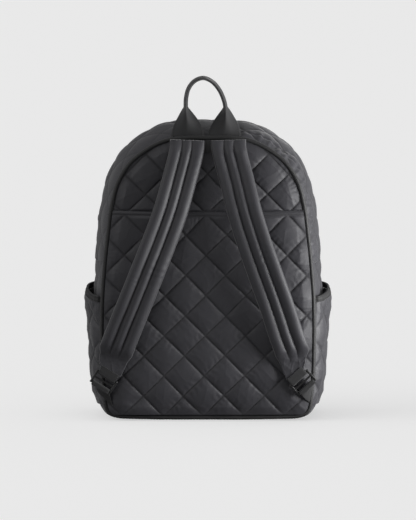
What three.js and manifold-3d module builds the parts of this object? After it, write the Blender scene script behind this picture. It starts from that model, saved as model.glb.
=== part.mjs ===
import * as THREE from 'three';
import Module from 'manifold-3d';

// Quilted puffer backpack standing on its base, seen on its harness side.
// Millimetres, +Z up, harness side towards -Y, origin at the centre of the base on the floor.

// Body
const SEAM_HALF_WIDTH = 141.3; // from the centre line to the piped seam at its widest
const SEAM_HEIGHT = 374; // piped seam, lowest to highest point
const SEAM_RISE = 4; // lowest point of the seam above the floor
const BODY_DEPTH = 150; // rear seam to front seam, at the base
const DEPTH_TAPER = 0.14; // share of the depth lost at the top
const GUSSET_SWELL = 15.5; // how far the gusset stands out past the seams at the top
const GUSSET_WALL = 3.5;
const PANEL_WALL = 4; // back and front panels, at their stitch lines
const PANEL_SWELL = 7; // rounding of the back panel
const FRONT_SWELL = 20; // rounding of the stuffed front panel
const SWELL_REACH = 70; // distance from the seam over which a panel rounds out
const PIPING_RADIUS = 2;
const CLEARANCE = 0.3; // between neighbouring pieces
const CUT_MARGIN = 2; // panels reach this far past the seam before they are cut to it

// Quilting: squares set on their corners
const QUILT_DIAGONAL = 54;
const QUILT_CENTRE_HEIGHT = 219.6; // a crossing of the stitch lines on the centre line
const PUFF = 3.2; // height of a quilt square over its stitch lines
const GATHER_DEPTH = 1.2; // ribs of the gathered gusset along the arch

// Luggage sleeve on the lower part of the back
const SLEEVE_BOTTOM = 11;
const HEM_HEIGHT = 280;
const SLEEVE_WALL = 2.5;
const SLEEVE_GAP = 0.9; // between the back panel and the sleeve that lies on it
const HEM_WIDTH = 7;

// Zip over the top
const ZIP_START = 0.52; // share of the seam height where the zip ends on each side
const ZIP_CENTRE = 0.7; // share of the depth
const ZIP_WIDTH = 24;
const ZIP_WALL = 1.6;
const ZIP_CHAIN = 6;
const ZIP_CHAIN_RISE = 1.2;
const SLIDER_LENGTH = 13;
const SLIDER_WIDTH = 9;
const SLIDER_HEIGHT = 2.8;
const PULL_LENGTH = 22;
const PULL_WIDTH = 7;

// Side pockets
const POCKET_BOTTOM = 21;
const POCKET_SEAT = 0.9; // between the gusset and the pocket along their seams
const POCKET_REAR_TOP = 157;
const POCKET_FRONT_TOP = 167;
const POCKET_MOUTH = 8.2; // gap between the gusset and the pocket at the mouth
const POCKET_WALL = 2.6;
const POCKET_PUFF = 2;
const POCKET_SEAMS = [0.02, 0.98]; // shares of the depth where the pocket is sewn in
const BINDING_HEIGHT = 8;
const BINDING_LEAN = 2.4; // how far the elastic draws the top edge in

// Shoulder straps, in three padded channels
const STRAP_WIDTH = 46;
const STRAP_CHANNELS = 3;
const STRAP_STITCH_THICKNESS = 5;
const STRAP_PUFF = 5.5;
const STRAP_BOW = 17; // how far the middle of a strap stands off the back
const STRAP_TIP = 38; // flat end below the channels
const TIP_FLAT = 18.5; // last stretch of it, as wide as the webbing
const STRAP_STATIONS = 22; // sections along a strap
const PATCH_HEIGHT = 17;
const PATCH_WALL = 1.5;

// Strap webbing and ladder locks
const WEBBING_WIDTH = 26;
const WEBBING_THICKNESS = 1.5;
const WEBBING_LAP = 6; // sewn length of the webbing on the strap's tip
const LOCK_WIDTH = 33;
const LOCK_LENGTH = 19;
const LOCK_THICKNESS = 3.4;
const LOCK_BAR = 3;

// Carry handle, folded lengthwise over the grip
const HANDLE_WEBBING = 46;
const HANDLE_THICKNESS = 1.8;
const HANDLE_RISE = 79; // top of the grip over the seam
const HANDLE_SPAN = 54; // between the two tabs
const FOLD_ANGLE = 84;
const FOLD_RISE = 0.48; // share of the rise over which the webbing folds
const FOLD_POWER = 0.95; // under one, the fold starts fast
const FOLD_GAP = 0.3; // between the two halves of the folded webbing

const REAR_Y = -BODY_DEPTH / 2;
const RING_STEPS = 88;
const EDGE_INSET = PIPING_RADIUS + CLEARANCE;

// Half of the seam line, as shares of the seam half width and the seam height
const SEAM_ROWS = [
  { across: 0, up: 0 },
  { across: 0.57, up: 0.001 },
  { across: 0.863, up: 0.006 },
  { across: 0.93, up: 0.016 },
  { across: 0.961, up: 0.037 },
  { across: 0.975, up: 0.083 },
  { across: 0.991, up: 0.15 },
  { across: 1, up: 0.283 },
  { across: 0.996, up: 0.417 },
  { across: 0.977, up: 0.524 },
  { across: 0.945, up: 0.644 },
  { across: 0.902, up: 0.765 },
  { across: 0.842, up: 0.845 },
  { across: 0.729, up: 0.912 },
  { across: 0.566, up: 0.96 },
  { across: 0.389, up: 0.991 },
  { across: 0.19, up: 1 },
  { across: 0, up: 1 },
];

// How far the gusset swells, as shares of its full swell
const SWELL_ROWS = [
  { up: 0, swell: 0.5 },
  { up: 0.02, swell: 0.6 },
  { up: 0.04, swell: 0.66 },
  { up: 0.08, swell: 0.66 },
  { up: 0.12, swell: 0.65 },
  { up: 0.48, swell: 0.65 },
  { up: 0.54, swell: 0.75 },
  { up: 0.63, swell: 0.86 },
  { up: 0.75, swell: 0.84 },
  { up: 0.85, swell: 0.88 },
  { up: 0.93, swell: 1.02 },
  { up: 0.97, swell: 1.05 },
  { up: 1, swell: 1 },
];

// Middle lines of the two shoulder straps, as shares of the seam half width and the seam height
const STRAP_ROWS = [
  { left: 0.197, right: 0.197, up: 0.988 },
  { left: 0.2, right: 0.2, up: 0.96 },
  { left: 0.276, right: 0.276, up: 0.845 },
  { left: 0.357, right: 0.347, up: 0.738 },
  { left: 0.461, right: 0.435, up: 0.631 },
  { left: 0.573, right: 0.535, up: 0.524 },
  { left: 0.686, right: 0.637, up: 0.417 },
  { left: 0.8, right: 0.729, up: 0.31 },
  { left: 0.87, right: 0.793, up: 0.24 },
];

// The patch fills the space between the straps where they come out of the top seam.
const PATCH_HALF_WIDTH = STRAP_ROWS[1].left * SEAM_HALF_WIDTH - STRAP_WIDTH / 2 - CLEARANCE;

// Ladder locks: place as shares of the seam half width and height, and tilt of the bars in degrees,
// with the place up the side seam where the lower webbing is sewn in, and its tilt there
const LOCKS = {
  left: { side: -1, across: 0.984, up: 0.132, tilt: 32, seatUp: 0.066, seatTilt: 42 },
  right: { side: 1, across: 0.896, up: 0.129, tilt: 43, seatUp: 0.088, seatTilt: 80 },
};

// Middle line of the handle, as shares of its half span and of its rise, left tab to right tab
const HANDLE_ROWS = [
  { across: -1, up: 0 },
  { across: -1.05, up: 0.25 },
  { across: -1.1, up: 0.48 },
  { across: -1.08, up: 0.64 },
  { across: -0.95, up: 0.8 },
  { across: -0.66, up: 0.92 },
  { across: -0.25, up: 0.97 },
  { across: 0.16, up: 0.92 },
  { across: 0.5, up: 0.8 },
  { across: 0.74, up: 0.64 },
  { across: 0.86, up: 0.48 },
  { across: 0.86, up: 0.25 },
  { across: 0.82, up: 0 },
];

const wasm = await Module();
wasm.setup();

const COLOURS = {
  nylon: { color: 0x2f2f32, roughness: 0.5, metalness: 0 },
  strap: { color: 0x323235, roughness: 0.48, metalness: 0 },
  piping: { color: 0x19191b, roughness: 0.6, metalness: 0 },
  webbing: { color: 0x1d1d20, roughness: 0.8, metalness: 0 },
  binding: { color: 0x141416, roughness: 0.8, metalness: 0 },
  zip: { color: 0x1a1a1c, roughness: 0.7, metalness: 0 },
  plastic: { color: 0x18181a, roughness: 0.4, metalness: 0 },
};

const backpack = new THREE.Group();

function addPiece(name, colour, geometry) {
  const mesh = new THREE.Mesh(geometry, new THREE.MeshStandardMaterial(COLOURS[colour]));
  mesh.name = name;
  backpack.add(mesh);
}

function clamp01(value) {
  return Math.min(1, Math.max(0, value));
}

// Reads a table of rows at a place, going smoothly from row to row.
function readRows(rows, key, column, place) {
  if (place <= rows[0][key]) return rows[0][column];
  for (let k = 1; k < rows.length; k++) {
    if (place <= rows[k][key]) {
      const share = (place - rows[k - 1][key]) / (rows[k][key] - rows[k - 1][key]);
      const eased = share * share * (3 - 2 * share);
      return rows[k - 1][column] + (rows[k][column] - rows[k - 1][column]) * eased;
    }
  }
  return rows[rows.length - 1][column];
}

// Closed mesh from points and triangles, turned so that its faces point out.
function closedMesh(points, triangles) {
  let volume = 0;
  const cross = new THREE.Vector3();
  for (let k = 0; k < triangles.length; k += 3) {
    cross.crossVectors(points[triangles[k + 1]], points[triangles[k + 2]]);
    volume += points[triangles[k]].dot(cross);
  }
  if (volume < 0) triangles.reverse();
  const geometry = new THREE.BufferGeometry();
  geometry.setAttribute('position', new THREE.Float32BufferAttribute(points.flatMap((p) => p.toArray()), 3));
  geometry.setIndex(triangles);
  return geometry;
}

// Triangles that close a flat loop of points.
function capTriangles(loop) {
  const normal = new THREE.Vector3();
  loop.forEach((p, k) => normal.add(new THREE.Vector3().crossVectors(p, loop[(k + 1) % loop.length])));
  normal.normalize();
  const first = new THREE.Vector3(0, 1, 0);
  if (Math.abs(normal.y) > 0.9) first.set(1, 0, 0);
  first.addScaledVector(normal, -first.dot(normal)).normalize();
  const second = new THREE.Vector3().crossVectors(normal, first);
  // The tiny offsets keep points on a straight edge, which would be left out as needless.
  const flat = loop.map((p, k) =>
    new THREE.Vector2(p.dot(first) + 1e-5 * Math.sin(7 * k), p.dot(second) + 1e-5 * Math.cos(3 * k)));
  return THREE.ShapeUtils.triangulateShape(flat, []);
}

// Skin over a row of loops with the same number of points. An open row is capped at both ends.
// turnDiagonal says which cells are split the other way, so that edges follow the stitch lines.
function loft(loops, ring = false, turnDiagonal = () => false) {
  const count = loops[0].length;
  const points = loops.flat();
  const triangles = [];
  const spans = ring ? loops.length : loops.length - 1;
  for (let i = 0; i < spans; i++) {
    const here = i * count;
    const next = ((i + 1) % loops.length) * count;
    for (let j = 0; j < count; j++) {
      const k = (j + 1) % count;
      if (turnDiagonal(i, j)) triangles.push(here + j, next + j, here + k, next + j, next + k, here + k);
      else triangles.push(here + j, next + j, next + k, here + j, next + k, here + k);
    }
  }
  if (!ring) {
    const last = (loops.length - 1) * count;
    for (const [a, b, c] of capTriangles(loops[0])) triangles.push(a, b, c);
    for (const [a, b, c] of capTriangles(loops.at(-1))) triangles.push(last + c, last + b, last + a);
  }
  return closedMesh(points, triangles);
}

function toSolid(geometry) {
  const plain = new wasm.Mesh({
    numProp: 3,
    vertProperties: new Float32Array(geometry.attributes.position.array),
    triVerts: new Uint32Array(geometry.index.array),
  });
  return new wasm.Manifold(plain);
}

function toGeometry(solid) {
  const mesh = solid.getMesh();
  const geometry = new THREE.BufferGeometry();
  geometry.setAttribute('position', new THREE.BufferAttribute(mesh.vertProperties, 3));
  geometry.setIndex(new THREE.BufferAttribute(mesh.triVerts, 1));
  return geometry;
}

// Seam line: evenly spaced points from the bottom centre, up the right side and down the left,
// each with its outward direction in the plane of the panel.
const seamHeightOf = (up) => SEAM_RISE + SEAM_HEIGHT * up;
const shareUp = (z) => (z - SEAM_RISE) / SEAM_HEIGHT;
const seamCurve = new THREE.CatmullRomCurve3(
  [
    ...SEAM_ROWS.map((row) => new THREE.Vector3(row.across * SEAM_HALF_WIDTH, 0, seamHeightOf(row.up))),
    ...SEAM_ROWS.slice(1, -1).reverse()
      .map((row) => new THREE.Vector3(-row.across * SEAM_HALF_WIDTH, 0, seamHeightOf(row.up))),
  ],
  true,
);
seamCurve.arcLengthDivisions = 2000;
const seam = [];
for (let i = 0; i < RING_STEPS; i++) {
  const point = seamCurve.getPointAt(i / RING_STEPS);
  const tangent = seamCurve.getTangentAt(i / RING_STEPS);
  seam.push({ x: point.x, z: point.z, out: new THREE.Vector3(tangent.z, 0, -tangent.x) });
}

// Distance of a place on a panel from the seam, positive inside it.
function insideSeam(x, z) {
  let nearest = Infinity;
  let inside = false;
  for (let i = 0; i < RING_STEPS; i++) {
    const a = seam[i];
    const b = seam[(i + 1) % RING_STEPS];
    const along = clamp01(
      ((x - a.x) * (b.x - a.x) + (z - a.z) * (b.z - a.z)) / ((b.x - a.x) ** 2 + (b.z - a.z) ** 2),
    );
    nearest = Math.min(nearest, Math.hypot(x - a.x - along * (b.x - a.x), z - a.z - along * (b.z - a.z)));
    if (a.z > z !== b.z > z && x < a.x + ((z - a.z) / (b.z - a.z)) * (b.x - a.x)) inside = !inside;
  }
  return inside ? nearest : -nearest;
}

// Rounding of a stuffed panel: nothing at the seam, one in the middle.
const rounding = (x, z) => 1 - (1 - clamp01(insideSeam(x, z) / SWELL_REACH)) ** 2;

// Height of the quilting: nothing on the stitch lines, one in the middle of a square.
function quiltHeight(x, z) {
  const rising = Math.sin((Math.PI * (x + z - QUILT_CENTRE_HEIGHT)) / QUILT_DIAGONAL);
  const falling = Math.sin((Math.PI * (x - z + QUILT_CENTRE_HEIGHT)) / QUILT_DIAGONAL);
  return Math.sqrt(Math.abs(rising * falling));
}

// Evenly spaced values from the quilt's own origin that cover a range, with the range's ends.
function gridValues(low, high, step, origin) {
  const values = [low];
  for (let k = Math.ceil((low - origin) / step); k <= Math.floor((high - origin) / step); k++) {
    const value = origin + k * step;
    if (value > low + step * 0.2 && value < high - step * 0.2) values.push(value);
  }
  values.push(high);
  return values;
}

// Rows of a surface that only has to follow the rounding of a panel
const coarseRows = (low, high) => gridValues(low, high, QUILT_DIAGONAL, 0);

// Plate between an outer and an inner surface y(x, z), cut to the seam line.
function panelPlate({ low, high, step, outer, inner, innerRows, coarseBelow }) {
  const reach = SEAM_HALF_WIDTH + CUT_MARGIN;
  const columns = gridValues(-reach, reach, step, 0);
  const fineFrom = coarseBelow ?? low;
  const rows = gridValues(fineFrom, high, step, QUILT_CENTRE_HEIGHT);
  if (fineFrom > low) rows.unshift(...coarseRows(low, fineFrom).slice(0, -1));
  const loops = columns.map((x) => [
    ...rows.map((z) => new THREE.Vector3(x, outer(x, z), z)),
    ...innerRows.toReversed().map((z) => new THREE.Vector3(x, inner(x, z), z)),
  ]);
  const onLine = (i, j) => {
    if (j >= rows.length - 1) return false;
    const falling = (columns[i] + (rows[j + 1] - QUILT_CENTRE_HEIGHT)) / QUILT_DIAGONAL;
    return Math.abs(falling - Math.round(falling)) < 0.01;
  };
  const plate = toSolid(loft(loops, false, onLine));
  const shape = new THREE.Shape(
    seam.map((p) => new THREE.Vector2(p.x - p.out.x * EDGE_INSET, p.z - p.out.z * EDGE_INSET)),
  );
  const prism = new THREE.ExtrudeGeometry(shape, { depth: BODY_DEPTH * 3, bevelEnabled: false, steps: 1 });
  prism.rotateX(Math.PI / 2);
  prism.translate(0, BODY_DEPTH * 1.5, 0);
  const welded = weld(prism);
  return toGeometry(plate.intersect(toSolid(welded)));
}

// Shares the points that an extrusion doubles, so that it becomes one closed mesh.
function weld(geometry) {
  const source = geometry.attributes.position;
  const places = new Map();
  const points = [];
  const triangles = [];
  for (let k = 0; k < source.count; k++) {
    const point = new THREE.Vector3().fromBufferAttribute(source, k);
    const key = point.toArray().map((value) => Math.round(value * 1e4)).join();
    if (!places.has(key)) {
      places.set(key, points.length);
      points.push(point);
    }
    triangles.push(places.get(key));
  }
  const kept = [];
  for (let k = 0; k < triangles.length; k += 3) {
    const [a, b, c] = triangles.slice(k, k + 3);
    if (a !== b && b !== c && c !== a) kept.push(a, b, c);
  }
  return closedMesh(points, kept);
}

// Back panel and sleeve, measured outwards from the plane of the rear seam
const SEAM_FADE = 16; // the quilting flattens within this distance of a seam
const seamFade = (x, z) => clamp01(insideSeam(x, z) / SEAM_FADE);
const backBase = (x, z) => PANEL_WALL / 2 + PANEL_SWELL * rounding(x, z);
const sleeveBase = (x, z) => backBase(x, z) + SLEEVE_GAP + SLEEVE_WALL;
const sleeveFade = (x, z) => seamFade(x, z) * clamp01((HEM_HEIGHT - z) / HEM_WIDTH);

function addBackPanel() {
  const top = SEAM_RISE + SEAM_HEIGHT + CUT_MARGIN;
  addPiece('back_panel', 'nylon', panelPlate({
    low: 0,
    high: top,
    step: QUILT_DIAGONAL / 4,
    coarseBelow: HEM_HEIGHT + CLEARANCE,
    outer: (x, z) => {
      const overHem = clamp01((z - HEM_HEIGHT - CLEARANCE) / HEM_WIDTH);
      return REAR_Y - backBase(x, z) - PUFF * quiltHeight(x, z) * seamFade(x, z) * overHem;
    },
    inner: (x, z) => REAR_Y - backBase(x, z) + PANEL_WALL,
    innerRows: coarseRows(0, top),
  }));
}

function addLuggageSleeve() {
  addPiece('luggage_sleeve', 'nylon', panelPlate({
    low: SLEEVE_BOTTOM,
    high: HEM_HEIGHT,
    step: QUILT_DIAGONAL / 4,
    outer: (x, z) => REAR_Y - sleeveBase(x, z) - PUFF * quiltHeight(x, z) * sleeveFade(x, z),
    inner: (x, z) => REAR_Y - sleeveBase(x, z) + SLEEVE_WALL,
    innerRows: coarseRows(SLEEVE_BOTTOM, HEM_HEIGHT),
  }));
}

// Plane of the front seam at a height: the bag gets shallower towards its top.
const frontY = (z) => REAR_Y + BODY_DEPTH * (1 - DEPTH_TAPER * clamp01(shareUp(z)) ** 2);

// Where the gusset starts next to the plane of a seam
const GUSSET_INSET = Math.max(PIPING_RADIUS, PANEL_WALL / 2) + CLEARANCE;
const GUSSET_ROUNDNESS = 2.6; // power of the gusset's profile from seam to seam

function addFrontPanel() {
  const top = SEAM_RISE + SEAM_HEIGHT + CUT_MARGIN;
  addPiece('front_panel', 'nylon', panelPlate({
    low: 0,
    high: top,
    step: QUILT_DIAGONAL / 2,
    outer: (x, z) => {
      const puff = PUFF * quiltHeight(x, z) * seamFade(x, z);
      return frontY(z) + PANEL_WALL / 2 + FRONT_SWELL * rounding(x, z) + puff;
    },
    inner: (x, z) => frontY(z) - PANEL_WALL / 2 + FRONT_SWELL * rounding(x, z),
    innerRows: coarseRows(0, top),
  }));
}

function addPiping(name, seamY, sides) {
  const loops = seam.map((p) => Array.from({ length: sides }, (_, k) => {
    const angle = (2 * Math.PI * k) / sides;
    const radial = PIPING_RADIUS * Math.cos(angle);
    return new THREE.Vector3(
      p.x + p.out.x * radial,
      seamY(p.z) + PIPING_RADIUS * Math.sin(angle),
      p.z + p.out.z * radial,
    );
  }));
  addPiece(name, 'piping', loft(loops, true));
}

// Outer surface of the gusset at a seam point, a share of the depth and a height over the surface.
// The base is pressed flat on the floor.
function gussetPoint(place, depthShare, lift = 0) {
  const near = REAR_Y + GUSSET_INSET;
  const far = frontY(place.z) - GUSSET_INSET;
  const swell = GUSSET_SWELL * readRows(SWELL_ROWS, 'up', 'swell', clamp01(shareUp(place.z)));
  const profile = 1 - Math.abs(2 * depthShare - 1) ** GUSSET_ROUNDNESS;
  const reach = swell * profile;
  const point = new THREE.Vector3(
    place.x + place.out.x * reach,
    near + (far - near) * depthShare,
    place.z + place.out.z * reach,
  );
  point.z = Math.max(point.z, 0);
  return point.addScaledVector(place.out, lift);
}

const depthFade = (depthShare) => clamp01((0.5 - Math.abs(depthShare - 0.5)) * 8);
const sideFade = (place) => clamp01((place.out.z + 0.75) * 2);

// The gusset lies flat behind the side pockets, and is quilted again from their mouths up.
const overPocket = (z) => clamp01((z - POCKET_REAR_TOP + 2 * BINDING_HEIGHT) / (2 * BINDING_HEIGHT));

// Strip of gusset over a run of seam points, quilted outside and smooth inside.
function gussetStrip({ from, to, depths, gathered = false, endTrim = 0 }) {
  const places = [];
  for (let i = from; i <= to; i++) places.push(seam[(i + RING_STEPS) % RING_STEPS]);
  trimEnds(places, endTrim);
  const cells = depths.length - 1;
  const loops = places.map((place, i) => {
    const loop = depths.map((depthShare, j) => {
      const onLine = (i + j) % 4 === 0 || (i - j) % 4 === 0;
      const centre = i % 2 === 0 && j % 2 === 0 && !onLine;
      const height = onLine ? 0 : centre ? 1 : 0.7;
      let lift = PUFF * height * depthFade(depthShare) * sideFade(place) * overPocket(place.z);
      if (gathered && j === 1) lift = GATHER_DEPTH * (i % 2) * clamp01(place.out.z * 3);
      return gussetPoint(place, depthShare, lift);
    });
    for (const share of [1, 0.5, 0]) {
      const depthShare = depths[0] + (depths[cells] - depths[0]) * share;
      loop.push(gussetPoint(place, depthShare, -GUSSET_WALL));
    }
    return loop;
  });
  return loft(loops, false, (i, j) => j < cells && (i + j + 1) % 4 === 0);
}

// Shortens a run of seam places by a distance at both ends.
function trimEnds(places, distance) {
  for (const [first, second] of [[0, 1], [places.length - 1, places.length - 2]]) {
    const a = places[first];
    const b = places[second];
    const share = distance / Math.hypot(b.x - a.x, b.z - a.z);
    places[first] = {
      x: a.x + (b.x - a.x) * share,
      z: a.z + (b.z - a.z) * share,
      out: a.out.clone().lerp(b.out, share).normalize(),
    };
  }
}

// Seam points where the zip ends on the right, and the matching point on the left
const zipFrom = seam.findIndex((p) => p.z > seamHeightOf(ZIP_START));
const zipTo = RING_STEPS - zipFrom;
const ZIP_SHARE = ZIP_WIDTH / BODY_DEPTH;
const GAP_SHARE = CLEARANCE / BODY_DEPTH;
const zipNear = ZIP_CENTRE - ZIP_SHARE / 2;
const zipFar = ZIP_CENTRE + ZIP_SHARE / 2;

const evenShares = (low, high, cells) =>
  Array.from({ length: cells + 1 }, (_, k) => low + ((high - low) * k) / cells);

function addGusset() {
  const arch = { from: zipFrom, to: zipTo, endTrim: CLEARANCE };
  addPiece('gusset_upper_rear', 'nylon', gussetStrip({
    ...arch, depths: evenShares(0, zipNear - 1.5 * GAP_SHARE, 5), gathered: true,
  }));
  addPiece('gusset_upper_front', 'nylon', gussetStrip({
    ...arch, depths: evenShares(zipFar + 1.5 * GAP_SHARE, 1, 3),
  }));
  addPiece('gusset_lower', 'nylon', gussetStrip({
    from: zipTo - RING_STEPS, to: zipFrom, depths: evenShares(0, 1, 8),
  }));
}

function addZip() {
  const places = seam.slice(zipFrom, zipTo + 1);
  trimEnds(places, CLEARANCE);
  const chain = ZIP_CHAIN / BODY_DEPTH / 2;
  const rows = [
    { depth: zipNear, lift: 0 },
    { depth: ZIP_CENTRE - chain, lift: 0 },
    { depth: ZIP_CENTRE, lift: ZIP_CHAIN_RISE },
    { depth: ZIP_CENTRE + chain, lift: 0 },
    { depth: zipFar, lift: 0 },
    { depth: zipFar, lift: -ZIP_WALL },
    { depth: zipNear, lift: -ZIP_WALL },
  ];
  addPiece('main_zip', 'zip', loft(places.map((place) => rows.map((row) => gussetPoint(place, row.depth, row.lift)))));

  // Slider and pull at the left end of the closed zip, hanging down the side
  const end = seam[zipTo - 4];
  const seat = gussetPoint(end, ZIP_CENTRE, ZIP_CHAIN_RISE + CLEARANCE);
  const down = new THREE.Vector3(-end.out.z, 0, end.out.x).normalize();
  const outline = new THREE.Shape();
  outline.moveTo(-SLIDER_LENGTH / 2, -SLIDER_WIDTH / 2);
  outline.lineTo(SLIDER_LENGTH / 2, -SLIDER_WIDTH / 2);
  outline.lineTo(SLIDER_LENGTH / 2, -PULL_WIDTH / 2);
  outline.lineTo(SLIDER_LENGTH / 2 + PULL_LENGTH, -PULL_WIDTH / 2);
  outline.lineTo(SLIDER_LENGTH / 2 + PULL_LENGTH, PULL_WIDTH / 2);
  outline.lineTo(SLIDER_LENGTH / 2, PULL_WIDTH / 2);
  outline.lineTo(SLIDER_LENGTH / 2, SLIDER_WIDTH / 2);
  outline.lineTo(-SLIDER_LENGTH / 2, SLIDER_WIDTH / 2);
  outline.closePath();
  const slider = weld(new THREE.ExtrudeGeometry(outline, { depth: SLIDER_HEIGHT, bevelEnabled: false, steps: 1 }));
  const across = new THREE.Vector3().crossVectors(end.out, down);
  slider.applyMatrix4(new THREE.Matrix4().makeBasis(down, across, end.out).setPosition(seat));
  addPiece('zip_slider', 'plastic', slider);
}

// Place on one side of the seam at a height
function sidePlace(side, z) {
  for (let i = 1; i < RING_STEPS / 2; i++) {
    const a = seam[i];
    const b = seam[i + 1];
    if (a.x > SEAM_HALF_WIDTH * 0.5 && a.z <= z && b.z > z) {
      const share = (z - a.z) / (b.z - a.z);
      const out = a.out.clone().lerp(b.out, share).normalize();
      return { x: side * (a.x + (b.x - a.x) * share), z, out: new THREE.Vector3(side * out.x, 0, out.z) };
    }
  }
  throw new Error('no place on the side at that height');
}

// Side pocket: a quilted wall that leaves the gusset along its seams and stands open at the top.
const pocketTop = (depthShare) =>
  POCKET_REAR_TOP + (POCKET_FRONT_TOP - POCKET_REAR_TOP) * Math.sin((Math.PI / 2) * depthShare);
const POCKET_DEPTHS = evenShares(...POCKET_SEAMS, 10);
const POCKET_ROWS = 10;

// How far the mouth stands open: nothing at the pocket's seams, one half way between them
function mouthShare(depthShare) {
  const [rearSeam, frontSeam] = POCKET_SEAMS;
  return Math.sin(Math.PI * clamp01((depthShare - rearSeam) / (frontSeam - rearSeam))) ** 0.6;
}

function pocketPoint(side, depthShare, upShare, lift) {
  const z = POCKET_BOTTOM + (pocketTop(depthShare) - POCKET_BOTTOM) * upShare;
  const opening = POCKET_MOUTH * mouthShare(depthShare) * (0.15 + 0.85 * upShare ** 2.2) * Math.min(1, upShare * 4);
  const stand = PUFF * depthFade(depthShare) * overPocket(z) + opening;
  return gussetPoint(sidePlace(side, z), depthShare, POCKET_SEAT + stand + lift);
}

function addPocket(name, side) {
  const loops = POCKET_DEPTHS.map((depthShare, i) => {
    const loop = [];
    for (let j = 0; j <= POCKET_ROWS; j++) {
      const onLine = (i + j) % 4 === 0 || (i - j) % 4 === 0;
      const inner = i > 0 && i < POCKET_DEPTHS.length - 1 && j > 0 && j < POCKET_ROWS;
      const puff = onLine || !inner ? 0 : POCKET_PUFF;
      loop.push(pocketPoint(side, depthShare, j / POCKET_ROWS, POCKET_WALL + puff));
    }
    for (let j = POCKET_ROWS; j >= 0; j--) loop.push(pocketPoint(side, depthShare, j / POCKET_ROWS, 0));
    return loop;
  });
  addPiece(`side_pocket_${name}`, 'nylon', loft(loops, false, (i, j) => j < POCKET_ROWS && (i + j + 1) % 4 === 0));

  // Elastic binding that stands on the pocket's top edge
  const edge = POCKET_DEPTHS.map((depthShare) => {
    const inner = pocketPoint(side, depthShare, 1, -0.2);
    const outer = pocketPoint(side, depthShare, 1, POCKET_WALL + 0.2);
    const rise = new THREE.Vector3(0, 0, CLEARANCE);
    const lean = -side * BINDING_LEAN * mouthShare(depthShare);
    const top = new THREE.Vector3(lean, 0, CLEARANCE + BINDING_HEIGHT);
    return [inner.clone().add(rise), outer.clone().add(rise), outer.clone().add(top), inner.clone().add(top)];
  });
  addPiece(`pocket_binding_${name}`, 'binding', loft(edge));
}

// Highest level of the quilted back under a place, outwards from the rear seam plane
function backLevel(x, z) {
  const base = z < HEM_HEIGHT + HEM_WIDTH ? sleeveBase(x, z) : backBase(x, z);
  return Math.max(PIPING_RADIUS, base + PUFF * seamFade(x, z));
}

function levelAcross(point, wide, halfWidth) {
  let level = 0;
  for (let k = -4; k <= 4; k++) {
    const x = point.x + (wide.x * halfWidth * k) / 4;
    const z = point.z + (wide.z * halfWidth * k) / 4;
    level = Math.max(level, backLevel(x, z));
  }
  return level;
}

// Ladder lock frame of reference: along its bars, towards its lower bar, and its level
function lockFrame(lock) {
  const tilt = (lock.tilt * Math.PI) / 180;
  const bars = new THREE.Vector3(Math.cos(tilt), 0, lock.side * Math.sin(tilt));
  const down = new THREE.Vector3(lock.side * Math.sin(tilt), 0, -Math.cos(tilt));
  const centre = new THREE.Vector3(lock.side * lock.across * SEAM_HALF_WIDTH, 0, seamHeightOf(lock.up));
  const corner = centre.clone().addScaledVector(down, -LOCK_LENGTH);
  const level = Math.max(levelAcross(centre, bars, LOCK_WIDTH / 2), levelAcross(corner, bars, LOCK_WIDTH / 2));
  centre.y = REAR_Y - level - 2 * CLEARANCE - WEBBING_THICKNESS - LOCK_THICKNESS / 2;
  return { centre, bars, down };
}

const TOWARDS_VIEWER = new THREE.Vector3(0, -1, 0);

// Padded strap in lengthwise channels, with a flat tapered tip that reaches the ladder lock.
function addStrap(name, lock) {
  const { centre, bars, down } = lockFrame(lock);
  const tipEnd = centre.clone().addScaledVector(down, -(LOCK_LENGTH / 2 + WEBBING_THICKNESS + 2 * CLEARANCE));
  const route = new THREE.CatmullRomCurve3([
    ...STRAP_ROWS.map((row) => new THREE.Vector3(lock.side * row[name] * SEAM_HALF_WIDTH, 0, seamHeightOf(row.up))),
    new THREE.Vector3(tipEnd.x, 0, tipEnd.z),
  ]);
  const length = route.getLength();
  const places = Array.from({ length: STRAP_STATIONS + 1 }, (_, k) => {
    const share = k / STRAP_STATIONS;
    const point = route.getPointAt(share);
    const tangent = route.getTangentAt(share);
    const tip = clamp01((share * length - (length - STRAP_TIP)) / (STRAP_TIP - TIP_FLAT));
    const taper = tip * tip * (3 - 2 * tip);
    const wide = new THREE.Vector3(-tangent.z, 0, tangent.x).lerp(bars, taper).normalize();
    const width = STRAP_WIDTH + (WEBBING_WIDTH - STRAP_WIDTH) * taper;
    const puff = STRAP_PUFF * Math.min(1, 0.35 + share * 12) * (1 - taper);
    const thickness = STRAP_STITCH_THICKNESS + (LOCK_THICKNESS - STRAP_STITCH_THICKNESS) * taper;
    const rest = levelAcross(point, wide, width / 2) + CLEARANCE + thickness / 2;
    const bow = STRAP_BOW * Math.sin(Math.PI * share) ** 1.2;
    const level = (rest + bow) * (1 - taper) + (REAR_Y - centre.y) * taper;
    return { point, wide, width, puff, thickness, level };
  });
  const loops = places.map((place) => {
    const at = (across, out) => new THREE.Vector3(
      place.point.x + place.wide.x * across,
      REAR_Y - place.level - out,
      place.point.z + place.wide.z * across,
    );
    const loop = [];
    const steps = STRAP_CHANNELS * 4;
    for (let k = 0; k <= steps; k++) {
      const across = (k / steps - 0.5) * place.width;
      const rib = Math.abs(Math.sin((Math.PI * STRAP_CHANNELS * k) / steps)) ** 0.7;
      loop.push(at(across, place.thickness / 2 + place.puff * rib));
    }
    for (let k = STRAP_CHANNELS; k >= 0; k--) {
      loop.push(at((k / STRAP_CHANNELS - 0.5) * place.width, -place.thickness / 2));
    }
    return loop;
  });
  addPiece(`shoulder_strap_${name}`, 'strap', loft(loops));
}

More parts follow.
